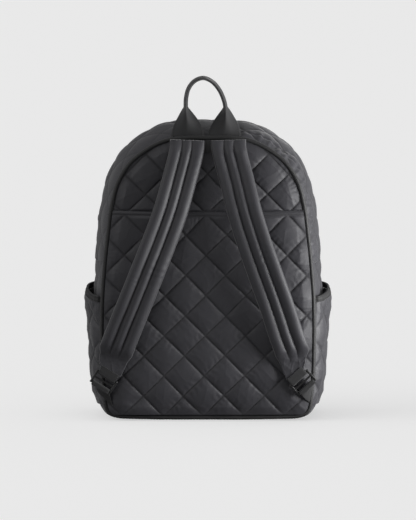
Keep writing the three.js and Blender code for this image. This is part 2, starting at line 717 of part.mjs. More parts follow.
// Flat strip through stations, each with a middle point, a width direction and a thickness direction.
// Its two faces are split along matching diagonals, so that a twisted strip keeps its thickness.
function ribbon(stations, width, thickness) {
  const loops = stations.map(({ point, wide, thick }) => [[-1, -1], [1, -1], [1, 1], [-1, 1]].map(([a, b]) =>
    point.clone().addScaledVector(wide, (a * width) / 2).addScaledVector(thick, (b * thickness) / 2)));
  return loft(loops, false, (i, j) => j >= 2);
}

function stationBetween(a, b, share) {
  const eased = share * share * (3 - 2 * share);
  return {
    point: a.point.clone().lerp(b.point, share).setY(a.point.y + (b.point.y - a.point.y) * eased),
    wide: a.wide.clone().lerp(b.wide, share).normalize(),
    thick: a.thick,
  };
}

// Ladder lock: three bars between two cheeks. Webbing turns round the upper and the lower bar.
function addLock(name, lock) {
  const { centre, bars, down } = lockFrame(lock);
  const outline = new THREE.Shape();
  const halfWidth = LOCK_WIDTH / 2;
  const halfLength = LOCK_LENGTH / 2;
  outline.moveTo(-halfWidth, -halfLength);
  outline.lineTo(halfWidth, -halfLength);
  outline.lineTo(halfWidth, halfLength);
  outline.lineTo(-halfWidth, halfLength);
  outline.closePath();
  const slotHalf = WEBBING_WIDTH / 2 + CLEARANCE;
  for (const sign of [-1, 1]) {
    const slot = new THREE.Path();
    const near = (sign * LOCK_BAR) / 2;
    const far = sign * (halfLength - LOCK_BAR);
    slot.moveTo(-slotHalf, near);
    slot.lineTo(slotHalf, near);
    slot.lineTo(slotHalf, far);
    slot.lineTo(-slotHalf, far);
    slot.closePath();
    outline.holes.push(slot);
  }
  const frame = weld(new THREE.ExtrudeGeometry(outline, { depth: LOCK_THICKNESS, bevelEnabled: false, steps: 1 }));
  frame.translate(0, 0, -LOCK_THICKNESS / 2);
  const third = new THREE.Vector3().crossVectors(bars, down);
  frame.applyMatrix4(new THREE.Matrix4().makeBasis(bars, down, third).setPosition(centre));
  addPiece(`ladder_lock_${name}`, 'plastic', frame);

  // Turn of webbing round a bar: out over the front, through the slot and back behind
  const turn = (barOffset, sense, frontRun, backStations) => {
    const middle = centre.clone().addScaledVector(down, barOffset);
    const radius = LOCK_THICKNESS / 2 + CLEARANCE + WEBBING_THICKNESS / 2;
    const slotSide = LOCK_BAR / 2 + CLEARANCE + WEBBING_THICKNESS / 2;
    const at = (along, out, thickAlong, thickOut) => ({
      point: middle.clone().addScaledVector(down, along).addScaledVector(TOWARDS_VIEWER, out),
      wide: bars,
      thick: down.clone().multiplyScalar(thickAlong).addScaledVector(TOWARDS_VIEWER, thickOut),
    });
    const stations = [at(-sense * frontRun, radius, 0, 1), at(sense * (slotSide - 1), radius, 0, 1)];
    for (let k = 1; k < 6; k++) {
      const angle = (Math.PI * k) / 6;
      const alongThick = Math.sin(angle);
      stations.push(at(sense * (slotSide - 1 + alongThick), radius * Math.cos(angle), sense * alongThick, Math.cos(angle)));
    }
    stations.push(at(sense * (slotSide - 1), -radius, 0, -1), ...backStations(middle, radius));
    return ribbon(stations, WEBBING_WIDTH, WEBBING_THICKNESS);
  };
  const barOffset = halfLength - LOCK_BAR / 2;
  const overlap = LOCK_BAR / 2 + WEBBING_THICKNESS + 2 * CLEARANCE + WEBBING_LAP;
  addPiece(`strap_webbing_${name}`, 'webbing', turn(-barOffset, 1, overlap, (middle, radius) => [{
    point: middle.clone().addScaledVector(down, -overlap).addScaledVector(TOWARDS_VIEWER, -radius),
    wide: bars,
    thick: TOWARDS_VIEWER.clone().negate(),
  }]));

  // Lower webbing: from its turn it runs behind the lock to the side seam and lies over it
  const seatPlace = sidePlace(lock.side, seamHeightOf(lock.seatUp));
  const seatTilt = (lock.seatTilt * Math.PI) / 180;
  const seat = lieAcross(
    new THREE.Vector3(seatPlace.x, 0, seatPlace.z),
    new THREE.Vector3(Math.cos(seatTilt), 0, lock.side * Math.sin(seatTilt)),
    WEBBING_WIDTH / 2,
  );
  addPiece(`lower_webbing_${name}`, 'webbing', turn(barOffset, -1, LOCK_BAR / 2 + 2, (middle, radius) => {
    const behind = {
      point: middle.clone().addScaledVector(TOWARDS_VIEWER, -radius),
      wide: bars,
      thick: TOWARDS_VIEWER.clone().negate(),
    };
    return [0, 0.3, 0.6, 1].map((share) => stationBetween(behind, seat, share));
  }));
}

// Station of a webbing that lies on the back: tilted to rest on it from edge to edge.
function lieAcross(point, wide, halfWidth) {
  const over = CLEARANCE + WEBBING_THICKNESS / 2;
  const levels = [];
  for (let k = -4; k <= 4; k++) {
    const reach = (halfWidth * k) / 4;
    levels.push(backLevel(point.x + wide.x * reach, point.z + wide.z * reach) + over);
  }
  const slope = (levels[8] - levels[0]) / 8;
  const lift = Math.max(...levels.map((level, k) => level - (levels[0] + slope * k)));
  const tilted = wide.clone();
  tilted.y = (-slope * 4) / halfWidth;
  tilted.normalize();
  return {
    point: new THREE.Vector3(point.x, REAR_Y - levels[0] - slope * 4 - lift, point.z),
    wide: tilted,
    thick: TOWARDS_VIEWER.clone().negate(),
  };
}

// Reinforcement patch on the back between the strap tops
function addPatch() {
  const top = SEAM_RISE + SEAM_HEIGHT - EDGE_INSET - CLEARANCE;
  const heights = evenShares(top - PATCH_HEIGHT, top, 3);
  const loops = [-1, 0, 1].map((column) => {
    const level = (z, lift) => REAR_Y - backLevel(column * PATCH_HALF_WIDTH, z) - CLEARANCE - lift;
    const narrow = (z) => 1 - 0.35 * ((z - top) / PATCH_HEIGHT + 1);
    return [
      ...heights.map((z) => new THREE.Vector3(column * PATCH_HALF_WIDTH * narrow(z), level(z, PATCH_WALL), z)),
      ...heights.toReversed().map((z) => new THREE.Vector3(column * PATCH_HALF_WIDTH * narrow(z), level(z, 0), z)),
    ];
  });
  addPiece('strap_patch', 'webbing', loft(loops));
}

// Carry handle: flat tabs on the seam that fold lengthwise, away from the harness side, into the grip.
function addHandle() {
  const foot = SEAM_RISE + SEAM_HEIGHT + PIPING_RADIUS + CLEARANCE;
  const route = new THREE.CatmullRomCurve3(HANDLE_ROWS.map((row) =>
    new THREE.Vector3((row.across * HANDLE_SPAN) / 2, 0, foot + row.up * HANDLE_RISE)));
  const stations = 28;
  const half = HANDLE_WEBBING / 2;
  const loops = Array.from({ length: stations + 1 }, (_, k) => {
    const share = k / stations;
    const point = route.getPointAt(share);
    const tangent = route.getTangentAt(share);
    if (k === 0 || k === stations) tangent.set(0, 0, k === 0 ? 1 : -1);
    const wide = new THREE.Vector3(tangent.z, 0, -tangent.x);
    const risen = clamp01((point.z - foot) / (HANDLE_RISE * FOLD_RISE));
    const fold = (FOLD_ANGLE * risen ** FOLD_POWER * Math.PI) / 180;
    const thickness = HANDLE_THICKNESS / 2;
    const at = (side, along, over) => {
      const across = side * (along * Math.cos(fold) + over * Math.sin(fold));
      const back = along * Math.sin(fold) - over * Math.cos(fold);
      return new THREE.Vector3(point.x + wide.x * across, REAR_Y + back, point.z + wide.z * across);
    };
    const crease = thickness / Math.cos(Math.PI / 4 - fold / 2) / 2;
    const outside = half * 0.12;
    const inside = Math.max(half * 0.2, (thickness * Math.sin(fold) + FOLD_GAP / 2) / Math.cos(fold));
    const outerCrease = new THREE.Vector3(point.x, REAR_Y - thickness, point.z);
    const innerCrease = new THREE.Vector3(point.x, REAR_Y + thickness + crease, point.z);
    return [
      at(-1, half, thickness), at(-1, outside, thickness), outerCrease, at(1, outside, thickness),
      at(1, half, thickness), at(1, half, -thickness), at(1, inside, -thickness), innerCrease,
      at(-1, inside, -thickness), at(-1, half, -thickness),
    ].reverse();
  });
  addPiece('carry_handle', 'webbing', loft(loops));
}

addBackPanel();
addLuggageSleeve();
addFrontPanel();
addPiping('back_piping', () => REAR_Y, 4);
addPiping('front_piping', frontY, 4);
addGusset();
addZip();
addPocket('left', -1);
addPocket('right', 1);
addPatch();
for (const [name, lock] of Object.entries(LOCKS)) {
  addStrap(name, lock);
  addLock(name, lock);
}
addHandle();

export default backpack;
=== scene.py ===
"""Quilted puffer backpack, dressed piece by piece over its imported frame.

Lengths are millimetres in the solids' own frame: +Z up, the harness side towards -Y, and the origin at the
centre of the base on the floor. They become metres where a mesh is made.
"""
import bpy
import numpy as np
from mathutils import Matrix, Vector


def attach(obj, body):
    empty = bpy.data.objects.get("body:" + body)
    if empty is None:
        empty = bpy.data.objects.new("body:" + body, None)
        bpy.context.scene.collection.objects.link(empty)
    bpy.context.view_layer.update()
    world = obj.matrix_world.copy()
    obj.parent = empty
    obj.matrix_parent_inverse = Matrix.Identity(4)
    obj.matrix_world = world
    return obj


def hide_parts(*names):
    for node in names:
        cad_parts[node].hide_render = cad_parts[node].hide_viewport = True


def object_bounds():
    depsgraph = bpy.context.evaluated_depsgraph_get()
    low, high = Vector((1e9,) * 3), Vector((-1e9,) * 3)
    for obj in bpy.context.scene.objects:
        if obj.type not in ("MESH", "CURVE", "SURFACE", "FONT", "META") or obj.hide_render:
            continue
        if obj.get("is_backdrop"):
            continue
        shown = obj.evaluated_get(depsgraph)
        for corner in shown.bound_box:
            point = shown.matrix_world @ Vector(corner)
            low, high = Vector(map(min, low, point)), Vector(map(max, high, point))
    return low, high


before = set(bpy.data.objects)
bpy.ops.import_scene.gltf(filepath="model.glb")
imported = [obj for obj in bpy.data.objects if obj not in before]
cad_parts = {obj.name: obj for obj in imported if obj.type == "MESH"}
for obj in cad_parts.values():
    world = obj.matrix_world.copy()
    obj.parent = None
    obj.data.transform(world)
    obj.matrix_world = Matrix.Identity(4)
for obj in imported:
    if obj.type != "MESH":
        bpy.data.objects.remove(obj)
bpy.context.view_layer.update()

# Back panel: two layers of nylon over light filling, stitched through in squares that stand on their
# corners and cut to the seam line. Its lower part lies flat under the luggage sleeve.
SEAM_HALF_WIDTH = 141.3
SEAM_HEIGHT = 374
SEAM_RISE = 4
REAR_Y = -75
PANEL_WALL = 4
PANEL_SWELL = 7
SWELL_REACH = 70
EDGE_INSET = 2.3
QUILT_DIAGONAL = 54
QUILT_CENTRE = (-3, 222)
QUILT_LEAN = 0.014
PUFF = 3.4
HEM_HEIGHT = 280
SEAM_ROWS = np.array([
    (0, 0), (0.57, 0.001), (0.863, 0.006), (0.93, 0.016), (0.961, 0.037), (0.975, 0.083), (0.991, 0.15),
    (1, 0.283), (0.996, 0.417), (0.977, 0.524), (0.945, 0.644), (0.902, 0.765), (0.842, 0.845),
    (0.729, 0.912), (0.566, 0.96), (0.389, 0.991), (0.19, 1), (0, 1),
])


def smooth(value):
    """Goes from 0 to 1 as value does, level at both ends: 3 v^2 - 2 v^3."""
    v = np.clip(value, 0, 1)
    return v * v * (3 - 2 * v)


def curve_through(rows, closed=False, steps=40):
    """Centripetal spline through rows of points: each span is the cubic whose slopes at its ends come from
    the neighbouring points, weighed by the square roots of the distances."""
    rows = np.asarray(rows, float)
    if closed:
        p0, p1, p2, p3 = (np.roll(rows, turn, 0) for turn in (1, 0, -1, -2))
    else:
        longer = np.vstack([2 * rows[0] - rows[1], rows, 2 * rows[-1] - rows[-2]])
        p0, p1, p2, p3 = longer[:-3], longer[1:-2], longer[2:-1], longer[3:]
    d0, d1, d2 = (np.linalg.norm(b - a, axis=1)[:, None] ** 0.5 for a, b in ((p0, p1), (p1, p2), (p2, p3)))
    start = ((p1 - p0) / d0 - (p2 - p0) / (d0 + d1) + (p2 - p1) / d1) * d1
    end = ((p2 - p1) / d1 - (p3 - p1) / (d1 + d2) + (p3 - p2) / d2) * d1
    t = np.linspace(0, 1, steps, endpoint=False)[None, :, None]
    p1, p2, start, end = (value[:, None] for value in (p1, p2, start, end))
    spans = p1 + start * t + (3 * (p2 - p1) - 2 * start - end) * t**2 + (2 * (p1 - p2) + start + end) * t**3
    return np.vstack([spans.reshape(-1, rows.shape[1]), rows[:1] if closed else rows[-1:]])


def along(curve, shares):
    """Points at shares of a curve's length, and the unit direction of travel there."""
    lengths = np.concatenate([[0], np.cumsum(np.linalg.norm(np.diff(curve, axis=0), axis=1))])
    at = np.asarray(shares) * lengths[-1]
    points = np.stack([np.interp(at, lengths, column) for column in curve.T], -1)
    slopes = np.gradient(curve, lengths, axis=0)
    travel = np.stack([np.interp(at, lengths, column) for column in slopes.T], -1)
    return points, travel / np.linalg.norm(travel, axis=-1, keepdims=True)


right_side = SEAM_ROWS * (SEAM_HALF_WIDTH, SEAM_HEIGHT) + (0, SEAM_RISE)
seam_curve = curve_through(np.vstack([right_side, right_side[-2:0:-1] * (-1, 1)]), closed=True)
seam_length = np.linalg.norm(np.diff(seam_curve, axis=0), axis=1).sum()


def seam_at(share):
    """Point (x, z) of the piped seam at a share of its length, from the bottom centre up the right side,
    and its outward direction, which is the direction of travel turned a quarter clockwise."""
    point, travel = along(seam_curve, np.mod(share, 1))
    return point, np.stack([travel[..., 1], -travel[..., 0]], -1)


RING_STEPS = 88
seam_points, seam_out = seam_at(np.arange(RING_STEPS) / RING_STEPS)


def half_width(z):
    """Half of the width between the seams at a height."""
    rising = curve_through(right_side)
    return np.interp(z, rising[:, 1], rising[:, 0])


def inside_seam(x, z):
    """Distance of places on a panel inwards from the seam, and how far along the seam the nearest point is."""
    x, z = np.broadcast_arrays(np.asarray(x, float), np.asarray(z, float))
    nearest, place = np.full(x.shape, 1e9), np.zeros(x.shape)
    for step in range(RING_STEPS):
        (ax, az), (bx, bz) = seam_points[step], seam_points[(step + 1) % RING_STEPS]
        t = np.clip(((x - ax) * (bx - ax) + (z - az) * (bz - az)) / ((bx - ax) ** 2 + (bz - az) ** 2), 0, 1)
        gap = (x - ax - t * (bx - ax)) ** 2 + (z - az - t * (bz - az)) ** 2
        place = np.where(gap < nearest, (step + t) * seam_length / RING_STEPS, place)
        nearest = np.minimum(gap, nearest)
    within = (np.abs(x) < half_width(z)) & (z > SEAM_RISE) & (z < SEAM_RISE + SEAM_HEIGHT)
    return np.where(within, np.sqrt(nearest), 0), place


def rounding(inside):
    """Rounding of a stuffed panel: 1 - (1 - d / reach)^2 of the distance d from the seam."""
    return 1 - (1 - np.clip(inside / SWELL_REACH, 0, 1)) ** 2


def hills(x, y, size, seed):
    """Smooth random hills between -1 and 1: random heights on a square lattice of that size, eased between."""
    heights = np.random.default_rng(seed).uniform(-1, 1, (64, 64))
    gx, gy = x / size + 640.3, y / size + 640.7
    ix, iy = np.floor(gx).astype(int), np.floor(gy).astype(int)
    fx, fy = smooth(gx - ix), smooth(gy - iy)
    low = heights[ix % 64, iy % 64] * (1 - fx) + heights[(ix + 1) % 64, iy % 64] * fx
    high = heights[ix % 64, (iy + 1) % 64] * (1 - fx) + heights[(ix + 1) % 64, (iy + 1) % 64] * fx
    return low * (1 - fy) + high * fy


def creases(x, y, angle, length, width, seed):
    """Long soft creases that run at an angle: ridges (1 - |hills|)^4 of hills drawn out along it."""
    run = x * np.cos(angle) + y * np.sin(angle)
    across = y * np.cos(angle) - x * np.sin(angle) + 0.15 * width * hills(x, y, length * 0.5, seed + 1)
    return (1 - np.abs(hills(run * width / length, across, width, seed))) ** 4


STITCH_WANDER = 1.0
PUCKER_PITCH = 9
PUCKER_HEIGHT = 0.2
CREASE_HEIGHT = 0.24
GROOVE_DEPTH = 0.45
GROOVE_WIDTH = 1.3


def wandered(a, b, seed):
    """A place on the cloth, moved a little as the hand-guided stitch lines wander."""
    return (a + STITCH_WANDER * hills(a, b, 52, seed), b + STITCH_WANDER * hills(a, b, 47, seed + 1))


def quilting(a, b, seed, puff=PUFF):
    """Height of the quilted cloth at (a, b), and how near a stitch line it is, from 0 to 1.

    Stitch lines lie where a + b or a - b is a whole number of diagonals. A square's crown is the root of the
    product of both sines. Puckers ride on it: sin(place along the line) * d exp(1 - d) of the distance d to
    the line, so that they start at the stitches and die out into the square."""
    a, b = wandered(a, b, seed)
    rising, falling = (a + b) / QUILT_DIAGONAL, (a - b) / QUILT_DIAGONAL
    crown = np.abs(np.sin(np.pi * rising) * np.sin(np.pi * falling)) ** 0.48
    side = QUILT_DIAGONAL / np.sqrt(2)
    puckers, nearest = 0, 1e9
    for line, run, turn in ((rising, falling, 2), (falling, rising, 3)):
        gap = np.abs(line - np.round(line)) * side
        phase = 2.6 * hills(a, b, 13, seed + turn)
        strength = np.clip(0.45 + 0.75 * hills(a, b, 24, seed + turn + 4), 0, 1.2)
        reach = gap / 3.2
        ripple = np.sin(2 * np.pi * run * side / PUCKER_PITCH + phase)
        puckers = puckers + strength * ripple * reach * np.exp(1 - reach)
        nearest = np.minimum(nearest, gap)
    folds = sum(creases(a, b, angle, 42, 11, seed + k) for k, angle in ((20, 0.5), (30, 2.3), (40, 1.45)))
    height = puff * crown * (1 + 0.14 * hills(a, b, 33, seed + 9))
    height = height + PUCKER_HEIGHT * puckers * puff / PUFF + CREASE_HEIGHT * (folds - 0.6) * crown
    # near marks the stitch grooves; the pieces store it as painted shade that darkens the cloth there.
    near = np.exp(-((nearest / GROOVE_WIDTH) ** 2))
    return height - GROOVE_DEPTH * near * puff / PUFF, near


def quilt_place(x, z):
    """Place in the quilting of a place on a panel: from the middle crossing, leaning a little to the left."""
    b = z - QUILT_CENTRE[1]
    return x - QUILT_CENTRE[0] - QUILT_LEAN * b, b


def on_panel(a, b):
    """Place on a panel of a place in its quilting: the other way round."""
    return a + QUILT_CENTRE[0] + QUILT_LEAN * b, b + QUILT_CENTRE[1]


def edge_gathers(inside, place, seed):
    """Small gathers where cloth is sewn in at the piping, dying out over a centimetre."""
    ripple = np.sin(2 * np.pi * place / 9 + 6 * hills(place, inside, 23, seed))
    strength = np.clip(0.1 + 0.9 * hills(place, place * 0, 31, seed + 1), 0, 1)
    reach = inside / 5
    return 0.18 * strength * ripple * reach * np.exp(1 - reach)


def back_base(inside):
    """Level of the back panel's stitch lines over the plane of the rear seam."""
    return PANEL_WALL / 2 + PANEL_SWELL * rounding(inside)


def back_surface(x, z):
    """Outer face of the back panel: its rounding, and above the hem its quilting."""
    inside, place = inside_seam(x, z)
    height, near = quilting(*quilt_place(x, z), 11)
    shown = smooth((z - HEM_HEIGHT) / 4)
    level = back_base(inside) + (height * np.clip(inside / 14, 0, 1) + edge_gathers(inside, place, 61)) * shown
    return np.stack([x, REAR_Y - level, z], -1), near * shown


def back_inner(x, z):
    """Inner face of the back panel, smooth."""
    inside = inside_seam(x, z)[0]
    return np.stack([x, REAR_Y - back_base(inside) + PANEL_WALL, z], -1)


def corner_share(up):
    """Share of the seam's length where it runs at 45 degrees on the right: low, or high where up is true."""
    shares = np.linspace(0, 0.5, 2000)
    out = seam_at(shares)[1]
    return shares[np.argmin(np.abs(out[:, 1] - (0.7 if up else -0.7)))]


def panel_places(columns, rows):
    """Places (x, z) all over a panel: a Coons patch, which blends the seam's bottom, top, left and right runs
    and takes off what the four corners add twice."""
    low, high = corner_share(False), corner_share(True)

    def run(shares):
        point, out = seam_at(shares)
        return point - out * EDGE_INSET

    u, v = columns[None, :, None], rows[:, None, None]
    bottom, top = run(-low + 2 * low * columns)[None], run(1 - high + (2 * high - 1) * columns)[None]
    left, right = run(1 - low + (low - high) * rows)[:, None], run(low + (high - low) * rows)[:, None]
    corners = ((1 - u) * (1 - v) * bottom[:, :1] + u * (1 - v) * bottom[:, -1:]
               + (1 - u) * v * top[:, :1] + u * v * top[:, -1:])
    places = (1 - v) * bottom + v * top + (1 - u) * left + u * right - corners
    return places[..., 0], places[..., 1]


def make_piece(name, points, faces, material, cloth=None, near=None):
    """A mesh object from points in millimetres and sets of faces, turned so that its faces point outwards.
    cloth holds each point's place on the cloth in millimetres, for the UV map, and near the painted shade of its
    stitch lines and grooves."""
    lists = [row for group in faces for row in np.asarray(group).tolist()]
    a, b, c = (points[[row[k] for row in lists]] for k in (0, 1, 2))
    if np.einsum("ij,ij->i", a, np.cross(b, c)).sum() < 0 and len(lists[0]) == 4:
        lists = [row[::-1] for row in lists]
    mesh = bpy.data.meshes.new(name)
    mesh.from_pydata(points * 0.001, [], lists)
    if cloth is not None:
        corner_points = np.zeros(len(mesh.loops), np.int32)
        mesh.loops.foreach_get("vertex_index", corner_points)
        layer = mesh.uv_layers.new(name="cloth")
        layer.data.foreach_set("uv", (cloth[corner_points] * 0.001).astype(np.float32).ravel())
    shade = mesh.attributes.new("stitch_painted_shade", "FLOAT", "POINT")
    if near is not None:
        shade.data.foreach_set("value", near.astype(np.float32))
    mesh.shade_smooth()
    mesh.set_sharp_from_angle(angle=1.0)
    mesh.materials.append(material)
    piece = bpy.data.objects.new(name, mesh)
    bpy.context.scene.collection.objects.link(piece)
    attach(piece, "root")
    return piece


def grid_quads(rows, columns, first=0, wrap=False):
    """Faces of a grid of points that are numbered row by row; wrap joins the last column to the first."""
    here = np.arange(columns if wrap else columns - 1)
    there = (here + 1) % columns
    lower = first + np.arange(rows - 1)[:, None] * columns
    upper = lower + columns
    return np.stack([lower + here, lower + there, upper + there, upper + here], -1).reshape(-1, 4)


def padded_shell(name, outer, inner, material, cloth, near):
    """Closed piece between a fine outer grid and a coarse inner one, joined round the rim by faces that take
    several fine points to one coarse span."""
    rows, columns = outer.shape[:2]
    few_rows, few_columns = inner.shape[:2]
    k = (rows - 1) // (few_rows - 1)
    fine = np.arange(rows * columns).reshape(rows, columns)
    coarse = fine.size + np.arange(few_rows * few_columns).reshape(few_rows, few_columns)
    spans = np.arange(k + 1)

    def rim(edge, inner_edge, forward):
        start = np.arange(len(inner_edge) - 1)
        taken = edge[start[:, None] * k + (spans if forward else spans[::-1])]
        first, last = (start + 1, start) if forward else (start, start + 1)
        return np.column_stack([taken, inner_edge[first], inner_edge[last]])

    faces = [
        grid_quads(rows, columns),
        grid_quads(few_rows, few_columns, fine.size)[:, ::-1],
        rim(fine[0], coarse[0], False), rim(fine[-1], coarse[-1], True),
        rim(fine[:, 0], coarse[:, 0], True), rim(fine[:, -1], coarse[:, -1], False),
    ]
    points = np.vstack([outer.reshape(-1, 3), inner.reshape(-1, 3)])
    spread = [np.concatenate([value.reshape(fine.size, -1), value[::k, ::k].reshape(coarse.size, -1)])
              for value in (cloth, near)]
    quad = points[faces[0]] - points.mean(0)
    facing = np.cross(quad[:, 1] - quad[:, 0], quad[:, 3] - quad[:, 0])
    if np.einsum("ij,ij->i", quad.mean(1), facing).sum() < 0:
        faces = [group[:, ::-1] for group in faces]
    return make_piece(name, points, faces, material, spread[0], spread[1][:, 0])


def add_node(tree, kind, inputs=(), **settings):
    """A shader node with its settings, and its inputs set to values or joined to sockets."""
    made = tree.nodes.new("ShaderNode" + kind)
    for key, value in settings.items():
        setattr(made, key, value)
    for key, value in dict(inputs).items():
        if isinstance(value, bpy.types.NodeSocket):
            tree.links.new(value, made.inputs[key])
        else:
            made.inputs[key].default_value = value
    return made


def start_group(name, inputs, outputs):
    """An empty shader group with named sockets, and its input and output nodes."""
    group = bpy.data.node_groups.new(name, "ShaderNodeTree")
    for label, kind, default in inputs:
        made = group.interface.new_socket(label, in_out="INPUT", socket_type="NodeSocket" + kind)
        made.default_value = default
    for label, kind in outputs:
        group.interface.new_socket(label, in_out="OUTPUT", socket_type="NodeSocket" + kind)
    return group, group.nodes.new("NodeGroupInput").outputs, group.nodes.new("NodeGroupOutput").inputs


def sums(tree, operation, first, second):
    """The outcome of one sum on two values or sockets."""
    return add_node(tree, "Math", {0: first, 1: second}, operation=operation).outputs[0]


def make_weave_group():
    """Plain weave: the product of a sine across the warp and one across the weft, as a height in metres."""
    group, given, result = start_group(
        "plain weave", [("Cloth", "Vector", (0, 0, 0)), ("Pitch", "Float", 0.0005), ("Depth", "Float", 0.00002)],
        [("Height", "Float")])
    parts = add_node(group, "SeparateXYZ", {0: given["Cloth"]}).outputs
    waves = []
    for part in (parts["X"], parts["Y"]):
        turns = sums(group, "DIVIDE", sums(group, "MULTIPLY", part, 2 * np.pi), given["Pitch"])
        waves.append(sums(group, "SINE", turns, 0))
    crossed = sums(group, "MULTIPLY", *waves)
    group.links.new(sums(group, "MULTIPLY", crossed, given["Depth"]), result["Height"])
    return group


def make_crinkle_group():
    """Fine crinkles of thin cloth: stretched noise in two directions, as a height in metres."""
    group, given, result = start_group(
        "cloth crinkle", [("Cloth", "Vector", (0, 0, 0)), ("Size", "Float", 0.004), ("Depth", "Float", 0.0002)],
        [("Height", "Float")])
    heights = []
    for stretch, turn in (((1, 0.45, 1), 0.7), ((0.4, 1, 1), -0.5)):
        turned = add_node(group, "Mapping", {"Vector": given["Cloth"], "Rotation": (0, 0, turn), "Scale": stretch})
        scale = sums(group, "DIVIDE", 1, given["Size"])
        noise = add_node(group, "TexNoise", {
            "Vector": turned.outputs[0], "Scale": scale, "Detail": 3, "Roughness": 0.55, "Distortion": 0.3})
        heights.append(noise.outputs["Fac"])
    group.links.new(sums(group, "MULTIPLY", sums(group, "ADD", *heights), given["Depth"]), result["Height"])
    return group


def make_tone_group():
    """Colour and roughness of worn cloth: blotches all over, and along stitch lines and grooves painted shade that
    darkens the colour, with a rougher finish there.
    """
    group, given, result = start_group(
        "cloth tone",
        [("Cloth", "Vector", (0, 0, 0)), ("Colour", "Color", (0.02, 0.02, 0.02, 1)), ("Stitch Painted Shade", "Float", 0),
         ("Roughness", "Float", 0.45), ("Blotch", "Float", 0.2)],
        [("Colour", "Color"), ("Roughness", "Float")])
    noise = add_node(group, "TexNoise", {"Vector": given["Cloth"], "Scale": 35, "Detail": 4, "Roughness": 0.6})
    spread = sums(group, "MULTIPLY", sums(group, "SUBTRACT", noise.outputs["Fac"], 0.5), given["Blotch"])
    light = sums(group, "ADD", spread, 1)
    # Painted shade: the colour is darkened by up to 0.45 along stitch lines and grooves, where shade falls.
    dark = sums(group, "MULTIPLY", given["Stitch Painted Shade"], 0.45)
    shaded = sums(group, "MULTIPLY", light, sums(group, "SUBTRACT", 1, dark))
    colour = add_node(group, "VectorMath", {0: given["Colour"], "Scale": shaded}, operation="SCALE")
    group.links.new(colour.outputs[0], result["Colour"])
    rough = sums(group, "ADD", given["Roughness"], sums(group, "MULTIPLY", spread, 0.35))
    rough = sums(group, "ADD", rough, sums(group, "MULTIPLY", given["Stitch Painted Shade"], 0.15))
    group.links.new(rough, result["Roughness"])
    return group


weave_group, crinkle_group, tone_group = make_weave_group(), make_crinkle_group(), make_tone_group()


def add_group(tree, group, inputs):
    """A node group placed in a material with its own values."""
    made = tree.nodes.new("ShaderNodeGroup")
    made.node_tree = group
    for key, value in inputs.items():
        if isinstance(value, bpy.types.NodeSocket):
            tree.links.new(value, made.inputs[key])
        else:
            made.inputs[key].default_value = value
    return made.outputs


def cloth_material(name, colour, roughness, sheen, weave, crinkle, blotch=0.25):
    """Cloth: toned colour and roughness, with weave and crinkle as bump. weave and crinkle are (size, depth)."""
    material = bpy.data.materials.new(name)
    material.use_nodes = True
    tree = material.node_tree
    tree.nodes.clear()
    place = add_node(tree, "UVMap", uv_map="cloth").outputs[0]
    shade = add_node(tree, "Attribute", attribute_name="stitch_painted_shade").outputs["Fac"]
    tone = add_group(tree, tone_group, {
        "Cloth": place, "Colour": (*colour, 1), "Stitch Painted Shade": shade, "Roughness": roughness, "Blotch": blotch})
    threads = add_group(tree, weave_group, {"Cloth": place, "Pitch": weave[0], "Depth": weave[1]})
    wrinkles = add_group(tree, crinkle_group, {"Cloth": place, "Size": crinkle[0], "Depth": crinkle[1]})
    height = sums(tree, "ADD", threads["Height"], wrinkles["Height"])
    bump = add_node(tree, "Bump", {"Strength": 1, "Distance": 1, "Height": height})
    shader = add_node(tree, "BsdfPrincipled", {
        "Base Color": tone["Colour"], "Roughness": tone["Roughness"], "Normal": bump.outputs[0],
        "Specular IOR Level": 0.5, "Sheen Weight": sheen, "Sheen Roughness": 0.4})
    output = add_node(tree, "OutputMaterial")
    tree.links.new(shader.outputs[0], output.inputs[0])
    return material


nylon = cloth_material("puffer_nylon", (0.022, 0.0215, 0.0265), 0.55, 0.25, (0.0005, 0.00001), (0.006, 0.00006))
thread = cloth_material("sewing_thread", (0.012, 0.012, 0.013), 0.55, 0.1, (0.0004, 0.00002), (0.001, 0.00002))


def surface_normals(surface, a, b, reach=0.4):
    """Unit directions along a and across a surface at places, from small steps on it."""
    step_a = surface(a + reach, b)[0] - surface(a - reach, b)[0]
    step_b = surface(a, b + reach)[0] - surface(a, b - reach)[0]
    normal = np.cross(step_a, step_b)
    return normal / np.linalg.norm(normal, axis=-1, keepdims=True), step_a, step_b


STITCH_PITCH = 3.6
STITCH_LENGTH = 2.9
THREAD_RADIUS = 0.3


def sew(name, surface, a, b, run_a, run_b, outward, bury=0.12):
    """Stitches on a surface at cloth places (a, b): short threads that run along (run_a, run_b) and dip into the
    cloth at both ends. Each has four rings of five points; outward gives the side of the cloth they lie on."""
    centre = surface(a, b)[0]
    normal, step_a, step_b = surface_normals(surface, a, b)
    normal = normal * np.sign(np.einsum("ij,ij->i", normal, outward(centre)))[:, None]
    run = step_a * run_a[:, None] + step_b * run_b[:, None]
    run /= np.linalg.norm(run, axis=-1, keepdims=True)
    side = np.cross(run, normal)
    angle = np.arange(5) * 2 * np.pi / 5
    lengthwise = np.array([-0.5, -0.28, 0.28, 0.5]) * STITCH_LENGTH
    thick = np.array([0.45, 1, 1, 0.45]) * THREAD_RADIUS
    rise = np.array([-0.5, 0, 0, -0.5]) * THREAD_RADIUS * 2 - bury
    points = (centre[:, None, None] + run[:, None, None] * lengthwise[None, :, None, None]
              + normal[:, None, None] * (rise[:, None] + thick[:, None] * np.sin(angle))[None, ..., None]
              + side[:, None, None] * (thick[:, None] * np.cos(angle))[None, ..., None])
    one = grid_quads(4, 5, wrap=True)
    count, size = len(centre), 20
    starts = np.arange(count)[:, None, None] * size
    quads = (one[None] + starts).reshape(-1, 4)
    caps = (np.array([[4, 3, 2, 1, 0], [15, 16, 17, 18, 19]])[None] + starts).reshape(-1, 5)
    piece = make_threads(name, points.reshape(-1, 3), [quads, caps], size)
    return piece


